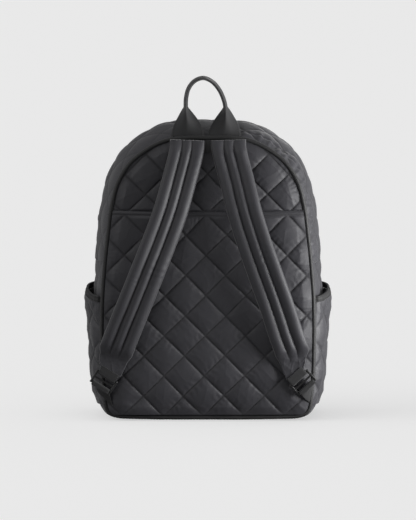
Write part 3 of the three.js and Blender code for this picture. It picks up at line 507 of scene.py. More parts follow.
def make_threads(name, points, faces, size):
    """One mesh of many equal threads, with faces turned out by the first thread's own middle."""
    first = points[:size]
    quad = first[faces[0][0]]
    facing = np.dot(quad.mean(0) - first.mean(0), np.cross(quad[1] - quad[0], quad[3] - quad[0]))
    if facing < 0:
        faces = [group[:, ::-1] for group in faces]
    lists = [row for group in faces for row in np.asarray(group).tolist()]
    mesh = bpy.data.meshes.new(name)
    mesh.from_pydata(points * 0.001, [], lists)
    layer = mesh.uv_layers.new(name="cloth")
    corner_points = np.zeros(len(mesh.loops), np.int32)
    mesh.loops.foreach_get("vertex_index", corner_points)
    layer.data.foreach_set("uv", (points[corner_points][:, [0, 2]] * 0.001).astype(np.float32).ravel())
    mesh.attributes.new("stitch_painted_shade", "FLOAT", "POINT")
    mesh.shade_smooth()
    mesh.materials.append(thread)
    piece = bpy.data.objects.new(name, mesh)
    bpy.context.scene.collection.objects.link(piece)
    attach(piece, "root")
    return piece


def quilt_lines(a_range, b_range, seed):
    """Places along all the stitch lines of a quilted rectangle, a stitch apart, with the way they run. Each is
    moved back by what the lines wander there, so that it lies in the quilting's own valley."""
    (a0, a1), (b0, b1) = a_range, b_range
    found = []
    for sign in (1, -1):
        corners = [a + sign * b for a in (a0, a1) for b in (b0, b1)]
        lines = np.arange(np.ceil(min(corners) / QUILT_DIAGONAL), np.floor(max(corners) / QUILT_DIAGONAL) + 1)
        places = np.arange(a0, a1, STITCH_PITCH / np.sqrt(2))
        a, line = np.meshgrid(places, lines)
        b = sign * (line * QUILT_DIAGONAL - a)
        kept = (b > b0) & (b < b1)
        found.append((a[kept], b[kept], np.full(kept.sum(), 1.0), np.full(kept.sum(), -float(sign))))
    a, b, run_a, run_b = (np.concatenate(parts) for parts in zip(*found))
    straight = a, b
    for _ in range(3):
        moved = wandered(a, b, seed)
        a, b = a + straight[0] - moved[0], b + straight[1] - moved[1]
    return a, b, run_a, run_b


towards_viewer = lambda centre: np.array([0.0, -1.0, 0.0])[None] + 0 * centre
away_from_viewer = lambda centre: np.array([0.0, 1.0, 0.0])[None] + 0 * centre

BACK_STEPS = (288, 256)
back_rows = np.concatenate([np.linspace(0, 0.68, BACK_STEPS[1] // 4, endpoint=False),
                            np.linspace(0.68, 1, 3 * BACK_STEPS[1] // 4 + 1)])
back_x, back_z = panel_places(np.linspace(0, 1, BACK_STEPS[0] + 1), back_rows)
back_outer, back_near = back_surface(back_x, back_z)
back_panel = padded_shell("back_quilting", back_outer, back_inner(back_x[::4, ::4], back_z[::4, ::4]), nylon,
                          np.stack([back_x, back_z], -1), back_near)
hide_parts("back_panel")

a, b, run_a, run_b = quilt_lines((-145, 145), (-220, 160), 11)
kept = (inside_seam(*on_panel(a, b))[0] > 6) & (on_panel(a, b)[1] > HEM_HEIGHT + 8)
sew("back_stitches", lambda a, b: back_surface(*on_panel(a, b)),
    a[kept], b[kept], run_a[kept], run_b[kept], towards_viewer)

# Luggage sleeve: a second quilted sheet sewn in along the side seams, whose stitch lines carry on from those of
# the panel. Its top edge is turned in and topstitched, and its bottom edge hangs a little open.
SLEEVE_BOTTOM = 8
SLEEVE_WALL = 2.5
SLEEVE_GAP = 0.9
HEM_WIDTH = 6
HEM_ROWS = (4.8,)
HEM_SAG = 1.6
GAP_CENTRE = -98
PULL_HEIGHT = 0.8
SLEEVE_STEPS = (288, 272)


def hem_line(x):
    """Height of the hem's top edge, which sags a little in the middle."""
    return HEM_HEIGHT - 0.3 + HEM_SAG * np.clip(np.abs(x) / 120, 0, 1) ** 2


def sleeve_surface(x, z):
    """Outer face of the sleeve: quilting that ends at the hem, and the hem as a flat roll with one groove, rounded
    down at its top edge.
    """
    inside, place = inside_seam(x, z)
    height, near = quilting(*quilt_place(x, z), 11)
    drop = hem_line(x) - z
    below_hem = smooth((drop - HEM_WIDTH + 1) / 4)
    faded = np.clip(inside / 14, 0, 1)
    roll = 0.5 * smooth(drop / 0.9) * smooth((HEM_WIDTH + 0.6 - drop) / 1.2) - 1.6 * (1 - smooth(drop / 3))
    grooves = sum(np.exp(-(((drop - row) / 0.7) ** 2)) for row in HEM_ROWS)
    ticks = np.clip(hills(x, x * 0, 17, 5), 0, 1) * np.sin(2 * np.pi * x / 5.5 + 2 * hills(x, z, 12, 6))
    tick_reach = np.clip(drop - HEM_WIDTH, 0, None) / 4
    ticks = 0.3 * ticks * tick_reach * np.exp(1 - tick_reach) * np.exp(-(((x + 12) / 14) ** 2))
    level = back_base(inside) + SLEEVE_GAP + SLEEVE_WALL + height * faded * below_hem
    level = level + (roll - 0.55 * grooves * (drop < HEM_WIDTH + 1) + ticks) * np.clip(inside / 6, 0, 1)
    level = level + edge_gathers(inside, place, 61) * below_hem
    beside = np.exp(-(((inside - 15) / 13) ** 2)) * (0.3 + 0.7 * smooth(x / 60))
    pulled = creases(x, z, 0.1, 44, 7, 91) * smooth((z - 100) / 25) * smooth((250 - z) / 25)
    level = level + PULL_HEIGHT * pulled * beside
    level = level + 3.2 * smooth((30 - z) / 18) * np.exp(-(((x - GAP_CENTRE) / 26) ** 2))
    # Painted shade in the stitch grooves below the hem and in the hem's groove.
    shade = np.maximum(near * below_hem, np.clip(grooves, 0, 1) * (drop < HEM_WIDTH + 1))
    return np.stack([x, REAR_Y - level, z], -1), shade


def sleeve_inner(x, z):
    """Inner face of the sleeve, a wall's thickness behind its stitch lines."""
    inside = inside_seam(x, z)[0]
    open_edge = 3.2 * smooth((30 - z) / 18) * np.exp(-(((x - GAP_CENTRE) / 26) ** 2))
    return np.stack([x, REAR_Y - back_base(inside) - SLEEVE_GAP - open_edge, z], -1)


rise = np.linspace(0, 1, SLEEVE_STEPS[1] + 1)[:, None]
straight_z = SLEEVE_BOTTOM + (HEM_HEIGHT - SLEEVE_BOTTOM) * rise
sleeve_x = (half_width(straight_z) - EDGE_INSET) * np.linspace(-1, 1, SLEEVE_STEPS[0] + 1)[None]
sleeve_z = SLEEVE_BOTTOM + (hem_line(sleeve_x) - SLEEVE_BOTTOM) * rise
sleeve_outer, sleeve_near = sleeve_surface(sleeve_x, sleeve_z)
sleeve = padded_shell("sleeve_quilting", sleeve_outer, sleeve_inner(sleeve_x[::4, ::4], sleeve_z[::4, ::4]), nylon,
                      np.stack([sleeve_x, sleeve_z], -1), sleeve_near)
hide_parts("luggage_sleeve")

kept = (inside_seam(*on_panel(a, b))[0] > 6) & (on_panel(a, b)[1] < HEM_HEIGHT - 12) & (
    on_panel(a, b)[1] > SLEEVE_BOTTOM + 3)
sew("sleeve_stitches", lambda a, b: sleeve_surface(*on_panel(a, b)),
    a[kept], b[kept], run_a[kept], run_b[kept], towards_viewer)
hem_a = np.tile(np.arange(-133, 133, STITCH_PITCH), len(HEM_ROWS))
hem_b = hem_line(hem_a) - np.repeat(HEM_ROWS, len(hem_a) // len(HEM_ROWS))
sew("hem_stitches", sleeve_surface, hem_a, hem_b, np.ones(len(hem_a)), np.zeros(len(hem_a)),
    towards_viewer)

# Front panel: the stuffed outer panel, quilted as the back is and rounded out much further.
BODY_DEPTH = 150
DEPTH_TAPER = 0.14
FRONT_SWELL = 20
FRONT_STEPS = (188, 232)


def front_y(z):
    """Plane of the front seam at a height: the bag gets shallower towards its top."""
    return REAR_Y + BODY_DEPTH * (1 - DEPTH_TAPER * np.clip((z - SEAM_RISE) / SEAM_HEIGHT, 0, 1) ** 2)


def front_surface(x, z):
    """Outer face of the front panel."""
    inside, place = inside_seam(x, z)
    height, near = quilting(*quilt_place(x, z), 211)
    swell = FRONT_SWELL * rounding(inside)
    level = PANEL_WALL / 2 + swell + height * np.clip(inside / 14, 0, 1) + edge_gathers(inside, place, 261)
    return np.stack([x, front_y(z) + level, z], -1), near


def front_inner(x, z):
    """Inner face of the front panel, smooth."""
    return np.stack([x, front_y(z) - PANEL_WALL / 2 + FRONT_SWELL * rounding(inside_seam(x, z)[0]), z], -1)


front_x, front_z = panel_places(np.linspace(0, 1, FRONT_STEPS[0] + 1), np.linspace(0, 1, FRONT_STEPS[1] + 1))
front_outer, front_near = front_surface(front_x, front_z)
front_panel = padded_shell("front_quilting", front_outer, front_inner(front_x[::4, ::4], front_z[::4, ::4]), nylon,
                           np.stack([front_x, front_z], -1), front_near)
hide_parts("front_panel")

a, b, run_a, run_b = quilt_lines((-145, 145), (-220, 160), 211)
kept = inside_seam(*on_panel(a, b))[0] > 6
sew("front_stitches", lambda a, b: front_surface(*on_panel(a, b)),
    a[kept], b[kept], run_a[kept], run_b[kept], away_from_viewer)

# Piping: a cord in bias tape, sewn into the seams round the back and the front panel.
PIPING_RADIUS = 3
PIPING_STEPS = 640
piping_cloth = cloth_material(
    "piping_tape", (0.009, 0.009, 0.0095), 0.6, 0.08, (0.0006, 0.00002), (0.004, 0.00008))


def tube_piece(name, rings, material, cloth):
    """Closed ring of sections, each a closed loop of points."""
    rows, columns = rings.shape[:2]
    points = rings.reshape(-1, 3)
    here = np.arange(rows)[:, None] * columns
    there = (np.arange(rows)[:, None] + 1) % rows * columns
    j = np.arange(columns)[None]
    k = (j + 1) % columns
    faces = np.stack([here + j, here + k, there + k, there + j], -1).reshape(-1, 4)
    middle = rings[0].mean(0)
    quad = points[faces[0]]
    if np.dot(quad.mean(0) - middle, np.cross(quad[1] - quad[0], quad[3] - quad[0])) < 0:
        faces = faces[:, ::-1]
    return make_piece(name, points, [faces], material, cloth.reshape(-1, 2))


def add_piping(name, node, seam_y, proud):
    """Tube along the seam. Its tape is pulled in a little between the stitches that hold it."""
    shares = np.arange(PIPING_STEPS) / PIPING_STEPS
    point, out = seam_at(shares)
    angle = np.arange(12) * 2 * np.pi / 12
    place = shares[:, None] * seam_length
    radius = PIPING_RADIUS * (1 + 0.05 * np.sin(2 * np.pi * place / 4.1) + 0.05 * hills(place, angle * 3, 9, 71))
    flat, deep = radius * np.cos(angle), radius * np.sin(angle)
    rings = np.stack([point[:, None, 0] + out[:, None, 0] * flat, seam_y(point[:, None, 1]) + proud + deep,
                      point[:, None, 1] + out[:, None, 1] * flat], -1)
    cloth = np.stack([place + 0 * angle, angle * radius], -1)
    piece = tube_piece(name, rings, piping_cloth, cloth)
    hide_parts(node)
    return piece


add_piping("back_piping_cord", "back_piping", lambda z: REAR_Y + 0 * z, -1.8)
add_piping("front_piping_cord", "front_piping", front_y, 0.5)

# Gusset: the quilted wall between the panels. Its lower run goes round the base and up both sides, and over
# the arch it is cut in two strips, sewn to the zip. It is gathered on the right of the arch.
GUSSET_SWELL = 15.5
GUSSET_INSET = 2.3
GUSSET_WALL = 3.5
SWELL_ROWS = np.array([
    (0, 0.5), (0.02, 0.6), (0.04, 0.66), (0.08, 0.66), (0.12, 0.65), (0.48, 0.65), (0.54, 0.75), (0.63, 0.86),
    (0.75, 0.84), (0.85, 0.88), (0.93, 1.02), (0.97, 1.08), (1, 1.15),
])
ZIP_START = 0.52
ZIP_CENTRE = 0.7
ZIP_WIDTH = 24
CLEARANCE = 0.3
POCKET_REAR_TOP = 157
BINDING_HEIGHT = 8


def read_rows(rows, place):
    """A table's value at a place, eased from row to row."""
    k = np.clip(np.searchsorted(rows[:, 0], place) - 1, 0, len(rows) - 2)
    share = (place - rows[k, 0]) / (rows[k + 1, 0] - rows[k, 0])
    return rows[k, 1] + (rows[k + 1, 1] - rows[k, 1]) * smooth(share)


def wall_point(point, out, depth, lift):
    """Point of the gusset: out from the seam by swell * (1 - |2 depth - 1|^2.6), pressed flat on the floor."""
    up = np.clip((point[..., 1] - SEAM_RISE) / SEAM_HEIGHT, 0, 1)
    reach = GUSSET_SWELL * read_rows(SWELL_ROWS, up) * (1 - np.abs(2 * depth - 1) ** 2.6)
    near, far = REAR_Y + GUSSET_INSET, front_y(point[..., 1]) - GUSSET_INSET
    z = np.maximum(point[..., 1] + out[..., 1] * reach, 0)
    return np.stack([point[..., 0] + out[..., 0] * (reach + lift), near + (far - near) * depth,
                     z + out[..., 1] * lift], -1)


def gathered(place, across, out):
    """Gathers over the arch: ripples across the seam that die out into the wall, strong on the right."""
    right = smooth((place / seam_length - 0.26) / 0.03) * smooth((0.485 - place / seam_length) / 0.03)
    strength = 0.12 + 0.42 * right
    ripple = np.sin(2 * np.pi * place / 15 + 3.4 * hills(place, across, 34, 81))
    ripple = ripple + 0.5 * np.sin(2 * np.pi * place / 8.3 + 3.4 * hills(place, across, 23, 82))
    reach = across / 11
    line = across - 16.5 - 1.2 * hills(place, place * 0, 40, 83)
    fold = -1.0 * right * np.exp(-((line / 1.5) ** 2)) + 0.35 * right * ripple * np.exp(-((line / 7) ** 2))
    return np.clip(out[..., 1] * 3 + 0.6, 0, 1) * (strength * ripple * reach * np.exp(1 - reach) + fold)


def gusset_surface(place, across):
    """Outer face of the gusset at a place along the seam and a distance across it, quilted and gathered."""
    point, out = seam_at(place / seam_length)
    depth = across / BODY_DEPTH
    height, near = quilting(place, across - BODY_DEPTH / 2, 311)
    edge = np.clip((0.5 - np.abs(depth - 0.5)) * 20, 0, 1)
    aside = np.clip((out[..., 1] + 0.75) * 2, 0, 1)
    above = smooth((point[..., 1] - POCKET_REAR_TOP + 2 * BINDING_HEIGHT) / (2 * BINDING_HEIGHT))
    calm = 0.25 + 0.6 * smooth(point[..., 0] / 60)
    calm = calm + (1 - calm) * smooth((across - 30) / 35)
    on_base = (height - PUFF) * 0.35 * (1 - aside) * edge
    lift = height * calm * edge * aside * above + on_base + gathered(place, across, out) * aside
    # The second value is painted shade in the stitch grooves, weaker where the quilting is calmed.
    return wall_point(point, out, depth, lift), near * np.maximum(above * calm, 1 - aside) * edge


def gusset_inner(place, across):
    """Inner face of the gusset, smooth."""
    point, out = seam_at(place / seam_length)
    return wall_point(point, out, across / BODY_DEPTH, -GUSSET_WALL)


def away_from_middle(centre):
    """Outwards from the middle of the bag."""
    return centre - np.array([0.0, 0.0, 190.0])


zip_share = np.argmax(seam_points[:, 1] > SEAM_RISE + SEAM_HEIGHT * ZIP_START) / RING_STEPS
zip_near = (ZIP_CENTRE * BODY_DEPTH - ZIP_WIDTH / 2) - 1.5 * CLEARANCE
zip_far = (ZIP_CENTRE * BODY_DEPTH + ZIP_WIDTH / 2) + 1.5 * CLEARANCE
arch = (zip_share * seam_length + CLEARANCE, (1 - zip_share) * seam_length - CLEARANCE)
base_run = (-zip_share * seam_length, zip_share * seam_length)
for name, node, places, crossing, steps in (
        ("gusset_base_and_sides", "gusset_lower", base_run, (0, BODY_DEPTH), (432, 92)),
        ("gusset_arch_rear", "gusset_upper_rear", arch, (0, zip_near), (384, 60)),
        ("gusset_arch_front", "gusset_upper_front", arch, (zip_far, BODY_DEPTH), (384, 44))):
    place, across = np.meshgrid(
        np.linspace(*places, steps[0] + 1), np.linspace(*crossing, steps[1] + 1), indexing="ij")
    outer, near = gusset_surface(place, across)
    wall = padded_shell(name, outer, gusset_inner(place[::4, ::4], across[::4, ::4]), nylon,
                        np.stack([place, across], -1), near)
    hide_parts(node)
    a, b, run_a, run_b = quilt_lines(places, (crossing[0] - 75, crossing[1] - 75), 311)
    point, out = seam_at(a / seam_length)
    kept = (np.abs(b) < 69) & (b + 75 > crossing[0] + 3) & (b + 75 < crossing[1] - 3) & (
        (point[:, 1] > POCKET_REAR_TOP - BINDING_HEIGHT) | (out[:, 1] < -0.9))
    kept &= (a > places[0] + 3) & (a < places[1] - 3)
    sew(name + "_stitches", lambda a, b: gusset_surface(a, b + BODY_DEPTH / 2),
        a[kept], b[kept], run_a[kept], run_b[kept], away_from_middle)

# Main zip: two woven tapes and a nylon coil chain, sewn in between the gusset's strips over the top.
# The slider sits at the left end of the closed chain with its pull hanging down.
ZIP_WALL = 1.6
ZIP_CHAIN = 6
COIL_PITCH = 2.4
COIL_RADIUS = 0.62
zip_tape = cloth_material("zip_tape", (0.012, 0.012, 0.013), 0.7, 0.08, (0.0008, 0.00005), (0.006, 0.00005))


def tape_surface(place, across):
    """Outer face of the zip tape: flat, with a low ridge where each tape is folded to the chain."""
    point, out = seam_at(place / seam_length)
    off_chain = np.abs(across - ZIP_CENTRE * BODY_DEPTH)
    lift = 0.5 * np.exp(-(((off_chain - ZIP_CHAIN / 2 - 1) / 0.8) ** 2))
    # The second value is painted shade along the two stitch lines, 10 mm either side of the chain.
    return wall_point(point, out, across / BODY_DEPTH, lift), np.exp(-(((off_chain - 10) / 0.6) ** 2))


place, across = np.meshgrid(
    np.linspace(*arch, 385),
    np.linspace(ZIP_CENTRE * BODY_DEPTH - ZIP_WIDTH / 2, ZIP_CENTRE * BODY_DEPTH + ZIP_WIDTH / 2, 41), indexing="ij")
outer, near = tape_surface(place, across)
point, out = seam_at(place[::4, ::4] / seam_length)
tape = padded_shell("zip_tapes", outer, wall_point(point, out, across[::4, ::4] / BODY_DEPTH, -ZIP_WALL), zip_tape,
                    np.stack([place, across], -1), near)
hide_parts("main_zip")


def many_loops(name, centre, along_way, side, up, route, radius, material):
    """One mesh of equal bent rods: route gives each rod's middle line in its own (along, side, up) frame."""
    angle = np.arange(6) * 2 * np.pi / 6
    line = np.array(route, float)
    travel = np.gradient(line, axis=0)
    travel /= np.linalg.norm(travel, axis=1, keepdims=True)
    first = np.cross(travel, [1.0, 0.0, 0.0])
    first /= np.linalg.norm(first, axis=1, keepdims=True)
    second = np.cross(travel, first)
    spoke = first[:, None] * np.cos(angle)[:, None] + second[:, None] * np.sin(angle)[:, None]
    local = line[:, None] + radius * spoke
    axes = np.stack([along_way, side, up], 1)
    points = centre[:, None, None] + np.einsum("rcj,njk->nrck", local, axes)
    rows, size = len(line), len(line) * 6
    starts = np.arange(len(centre))[:, None, None] * size
    quads = (grid_quads(rows, 6, wrap=True)[None] + starts).reshape(-1, 4)
    caps = (np.array([np.arange(6)[::-1], size - 6 + np.arange(6)])[None] + starts).reshape(-1, 6)
    piece = make_threads(name, points.reshape(-1, 3), [quads, caps], size)
    piece.data.materials[0] = material
    return piece


def hard_material(name, colour, roughness):
    """Moulded nylon: fine grain in the bump, and blotchy roughness."""
    material = bpy.data.materials.new(name)
    material.use_nodes = True
    tree = material.node_tree
    tree.nodes.clear()
    place = add_node(tree, "TexCoord").outputs["Object"]
    grain = add_node(tree, "TexNoise", {"Vector": place, "Scale": 1400, "Detail": 2})
    scuffs = add_node(tree, "TexNoise", {"Vector": place, "Scale": 160, "Detail": 5, "Roughness": 0.7})
    tone = add_group(tree, tone_group, {
        "Cloth": place, "Colour": (*colour, 1), "Stitch Painted Shade": 0.0, "Roughness": roughness, "Blotch": 0.3})
    rough = sums(tree, "ADD", tone["Roughness"], sums(tree, "MULTIPLY", scuffs.outputs["Fac"], 0.1))
    bump = add_node(tree, "Bump", {"Strength": 1, "Distance": 0.00003, "Height": grain.outputs["Fac"]})
    shader = add_node(tree, "BsdfPrincipled", {
        "Base Color": tone["Colour"], "Roughness": rough, "Normal": bump.outputs[0]})
    output = add_node(tree, "OutputMaterial")
    tree.links.new(shader.outputs[0], output.inputs[0])
    return material


moulded = hard_material("moulded_nylon", (0.008, 0.008, 0.0085), 0.34)
coil_places = np.arange(arch[0] + 2, arch[1] - 2, COIL_PITCH / 2)
hand = np.where(np.arange(len(coil_places)) % 2 == 0, 1.0, -1.0)
point, out = seam_at(coil_places / seam_length)
coil_centre = wall_point(point, out, np.full(len(point), ZIP_CENTRE), 0.55)
way = np.stack([-out[:, 1], 0 * out[:, 0], out[:, 0]], -1)
side = np.stack([0 * hand, hand, 0 * hand], -1)
lifted = np.stack([out[:, 0], 0 * out[:, 0], out[:, 1]], -1)
many_loops("zip_coil", coil_centre, way, side, lifted,
           [(0, -0.7, 0.25), (0, -0.3, 0.75), (0, 1.4, 0.8), (0, 2.7, 0.45), (0, 3.0, -0.2)],
           COIL_RADIUS, moulded)
tape_places = np.arange(arch[0] + 3, arch[1] - 3, STITCH_PITCH)
tape_a = np.tile(tape_places, 2)
tape_b = np.repeat([ZIP_CENTRE * BODY_DEPTH - 10, ZIP_CENTRE * BODY_DEPTH + 10], len(tape_places))
sew("zip_stitches", tape_surface, tape_a, tape_b, np.ones(len(tape_a)), np.zeros(len(tape_a)),
    away_from_middle)


def rounded_plate(length, width, thick, edge):
    """Outline points of a plate with round corners, for rings that step in at its edges: (rings, points, 3)."""
    turn = np.linspace(0, 2 * np.pi, 48, endpoint=False)
    rings = []
    power = 2 / 5
    for up, inward in ((-1, edge), (-1, 0.3 * edge), (-0.6, 0), (0.6, 0), (1, 0.3 * edge), (1, edge)):
        x = (length / 2 - inward) * np.sign(np.cos(turn)) * np.abs(np.cos(turn)) ** power
        y = (width / 2 - inward) * np.sign(np.sin(turn)) * np.abs(np.sin(turn)) ** power
        rings.append(np.stack([x, y, np.full(48, up * thick / 2)], -1))
    return np.array(rings)


def capped_tube(name, rings, material, cloth=None, near=None):
    """Skin over a row of closed sections, with a face at both ends."""
    rows, columns = rings.shape[:2]
    points = rings.reshape(-1, 3)
    quads = grid_quads(rows, columns, wrap=True)
    ends = np.array([np.arange(columns)[::-1], (rows - 1) * columns + np.arange(columns)])
    start = (rows // 2) * columns
    quad = points[quads[start]]
    if np.dot(quad.mean(0) - rings[rows // 2:rows // 2 + 2].mean((0, 1)),
              np.cross(quad[1] - quad[0], quad[3] - quad[0])) < 0:
        quads, ends = quads[:, ::-1], ends[:, ::-1]
    if cloth is None:
        cloth = points[:, [0, 2]]
    return make_piece(name, points, [quads, ends], material, cloth.reshape(-1, 2),
                      None if near is None else near.ravel())


SLIDER_STEPS_BACK = 4
slider_place = (RING_STEPS - round(zip_share * RING_STEPS) - SLIDER_STEPS_BACK) / RING_STEPS
point, out = seam_at(np.array([slider_place]))
seat = wall_point(point, out, np.array([ZIP_CENTRE]), 1.7)[0]
outwards = np.array([out[0, 0], 0, out[0, 1]])
downwards = np.array([-out[0, 1], 0, out[0, 0]])
aside = np.cross(outwards, downwards)


def on_slider(local):
    """From the slider's own frame (down, aside, out) to the bag's."""
    return seat + local @ np.array([downwards, aside, outwards])


body = rounded_plate(13, 9, 2.0, 0.7) + (0, 0, 1.2)
taper = 1 - 0.28 * smooth((body[..., 0:1] + 2) / 9)
body = body * np.concatenate([np.ones_like(taper), taper, np.ones_like(taper)], -1)
slider_body = capped_tube("zip_slider_body", on_slider(body), moulded)
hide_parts("zip_slider")
pull = rounded_plate(22, 7, 1.4, 0.45) + (17, 0, 1.4)
waist = 1 - 0.3 * np.exp(-(((pull[..., 0:1] - 12) / 6) ** 2))
pull = pull * np.concatenate([np.ones_like(waist), waist, np.ones_like(waist)], -1)
pull_tab = capped_tube("zip_pull", on_slider(pull), moulded)
bridge_turn = np.linspace(0, np.pi, 11)
bridge_line = np.stack([-4.8 * np.cos(bridge_turn), 0 * bridge_turn, 1.9 + 1.1 * np.sin(bridge_turn)], -1)
angle = np.arange(8) * 2 * np.pi / 8
bridge = bridge_line[:, None] + 0.75 * np.stack([0 * angle, np.cos(angle), np.sin(angle)], -1)
slider_bridge = capped_tube("zip_slider_bridge", on_slider(bridge), moulded)

# Side pockets: quilted sheets sewn in along the side seams and the bottom, with an elastic binding that
# draws the open top edge in. The sheet bulges and wrinkles away from the gusset towards its mouth.
POCKET_BOTTOM = 21
POCKET_FRONT_TOP = 167
POCKET_SEAT = 0.9
POCKET_MOUTH = 8.2
BINDING_LEAN = 2.4
POCKET_WALL = 2.6
POCKET_PUFF = 4
POCKET_SEAMS = (0.02, 0.98)
POCKET_QUILT_CENTRE = (75, 34)
POCKET_STEPS = (112, 120)
binding_cloth = cloth_material(
    "pocket_binding", (0.0085, 0.0085, 0.009), 0.62, 0.06, (0.0011, 0.00007), (0.005, 0.00004))


def pocket_top(depth):
    """Height of a pocket's top edge, which rises towards the front."""
    return POCKET_REAR_TOP + (POCKET_FRONT_TOP - POCKET_REAR_TOP) * np.sin(np.pi / 2 * depth)


def side_place(side, z):
    """Seam point and outward direction on one side at a height."""
    shares = np.linspace(0.02, 0.4, 1500)
    point, out = seam_at(shares)
    x, out_x, out_z = (np.interp(z, point[:, 1], column) for column in (point[:, 0], out[:, 0], out[:, 1]))
    return np.stack([side * x, z], -1), np.stack([side * out_x, out_z], -1)


def mouth_share(depth):
    """How far the mouth stands open: nothing at the pocket's seams, one half way between them."""
    return np.sin(np.pi * np.clip((depth - 0.02) / 0.96, 0, 1)) ** 0.6


def pocket_point(side, depth, up, lift):
    """Point of a pocket's inner face, lifted. The pocket leaves the gusset more and more towards its mouth."""
    z = POCKET_BOTTOM + (pocket_top(depth) - POCKET_BOTTOM) * up
    opening = POCKET_MOUTH * mouth_share(depth) * (0.15 + 0.85 * np.abs(up) ** 2.2) * np.clip(up * 4, 0, 1)
    above = np.clip((z - POCKET_REAR_TOP + 2 * BINDING_HEIGHT) / (2 * BINDING_HEIGHT), 0, 1)
    stand = 3.2 * np.clip((0.5 - np.abs(depth - 0.5)) * 20, 0, 1) * above + opening
    return wall_point(*side_place(side, z), depth, POCKET_SEAT + stand + lift)


def pocket_surface(side, seed):
    """The outer face of one pocket as a function of depth and height on its cloth, in millimetres."""
    def surface(deep, high):
        depth = deep / BODY_DEPTH
        up = (high - POCKET_BOTTOM) / (pocket_top(depth) - POCKET_BOTTOM)
        height, near = quilting(deep - POCKET_QUILT_CENTRE[0], high - POCKET_QUILT_CENTRE[1], seed, POCKET_PUFF)
        to_seam = np.minimum(depth - POCKET_SEAMS[0], POCKET_SEAMS[1] - depth)
        rim = np.clip(np.minimum(to_seam * 36, np.minimum(up, 1 - up) * 9), 0, 1)
        wrinkle = 0.5 * creases(deep, high, 0.1, 60, 14, seed + 50) * rim
        gather = 0.5 * np.sin(2 * np.pi * deep / 6.5 + 2 * hills(deep, high, 20, seed + 60))
        gather = gather * np.exp(-((1 - up) / 0.09)) * np.clip((1 - up) * 30, 0, 1)
        wall = POCKET_WALL * (0.15 + 0.85 * smooth(to_seam / 0.09))
        # The second value is painted shade in the quilting's stitch grooves.
        return pocket_point(side, depth, up, wall + height * rim + wrinkle + gather), near * rim
    return surface


for name, side, seed in (("left", -1, 411), ("right", 1, 511)):
    depth, up = np.meshgrid(
        np.linspace(*POCKET_SEAMS, POCKET_STEPS[0] + 1), np.linspace(0, 1, POCKET_STEPS[1] + 1), indexing="ij")
    deep, high = depth * BODY_DEPTH, POCKET_BOTTOM + (pocket_top(depth) - POCKET_BOTTOM) * up
    surface = pocket_surface(side, seed)
    outer, near = surface(deep, high)
    pocket = padded_shell(f"pocket_{name}", outer, pocket_point(side, depth[::4, ::4], up[::4, ::4], 0.0), nylon,
                          np.stack([deep, high], -1), near)
    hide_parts(f"side_pocket_{name}")
    a, b, run_a, run_b = quilt_lines((-71, 71), (-8, 156), seed)
    deep, high = a + POCKET_QUILT_CENTRE[0], b + POCKET_QUILT_CENTRE[1]
    kept = (high > POCKET_BOTTOM + 5) & (high < pocket_top(deep / BODY_DEPTH) - 6)
    sew(f"pocket_{name}_stitches", surface, deep[kept], high[kept], run_a[kept], run_b[kept],
        lambda centre: np.array([side, 0.0, 0.0])[None] + 0 * centre)

    depth = np.linspace(*POCKET_SEAMS, 161)
    turn = np.linspace(0, 2 * np.pi, 28, endpoint=False)
    flat = np.sign(np.cos(turn)) * np.abs(np.cos(turn)) ** 0.55
    tall = np.sign(np.sin(turn)) * np.abs(np.sin(turn)) ** 0.3
    ripple = 0.25 * np.sin(2 * np.pi * depth * BODY_DEPTH / 5.5 + 2 * hills(depth * 150, depth * 0, 20, seed + 70))
    inner = pocket_point(side, depth, np.ones_like(depth), -0.2)[:, None]
    outer = pocket_point(side, depth, np.ones_like(depth), POCKET_WALL + 0.5)[:, None]
    groove = 0.35 * np.exp(-(((np.abs(tall) - 0.62) / 0.12) ** 2)) * (flat > 0)
    middle, reach = (inner + outer) / 2, (outer - inner) / 2
    rings = middle + reach * (flat * (1 - groove))[None, :, None] * (1 + ripple[:, None, None] * 0.6)
    lean = BINDING_LEAN * mouth_share(depth)[:, None] * (tall + 1) / 2
    rings = rings - np.array([side, 0, 0]) * lean[..., None]
    rings = rings + np.array([0, 0, 1.0]) * (
        CLEARANCE + BINDING_HEIGHT / 2 + (BINDING_HEIGHT / 2) * tall[None] + ripple[:, None] * 0.5)[..., None]
    cloth = np.stack([depth[:, None] * BODY_DEPTH + 0 * turn, turn * 3 + 0 * depth[:, None]], -1)
    # Painted shade in the binding's groove.
    shade = np.clip(groove * 3, 0, 1)[None] + 0 * ripple[:, None]
    binding = capped_tube(f"pocket_{name}_binding", rings, binding_cloth, cloth, shade)
    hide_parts(f"pocket_binding_{name}")

# Shoulder straps: padded nylon in three stitched channels, bowed a little off the back, that end below the
# channels in a flat, tapered and wrinkled tip. They are sewn into the top seam.
STRAP_WIDTH = 46
STRAP_STITCH_THICKNESS = 5
STRAP_PUFF = 4.6
STRAP_BOW = 17
STRAP_TWIST = 3.5
STRAP_TIP = 38
TIP_FLAT = 18.5
TIP_ROWS = np.array([(0, 1), (3, 0.9), (9, 0.5), (22, 0.36), (34, 0), (2000, 0)])
WEBBING_WIDTH = 26
WEBBING_THICKNESS = 1.5
WEBBING_LAP = 6
LOCK_WIDTH = 33
LOCK_LENGTH = 19
LOCK_THICKNESS = 3.4
LOCK_BAR = 3
CHANNEL_SEAM = 0.28
STRAP_UP = (0.9945, 0.96, 0.845, 0.738, 0.631, 0.524, 0.417, 0.31, 0.24)
STRAP_ACROSS = {
    "left": (0.1965, 0.2, 0.276, 0.357, 0.461, 0.573, 0.686, 0.8, 0.87),
    "right": (0.1965, 0.2, 0.276, 0.347, 0.435, 0.535, 0.637, 0.729, 0.793),
}
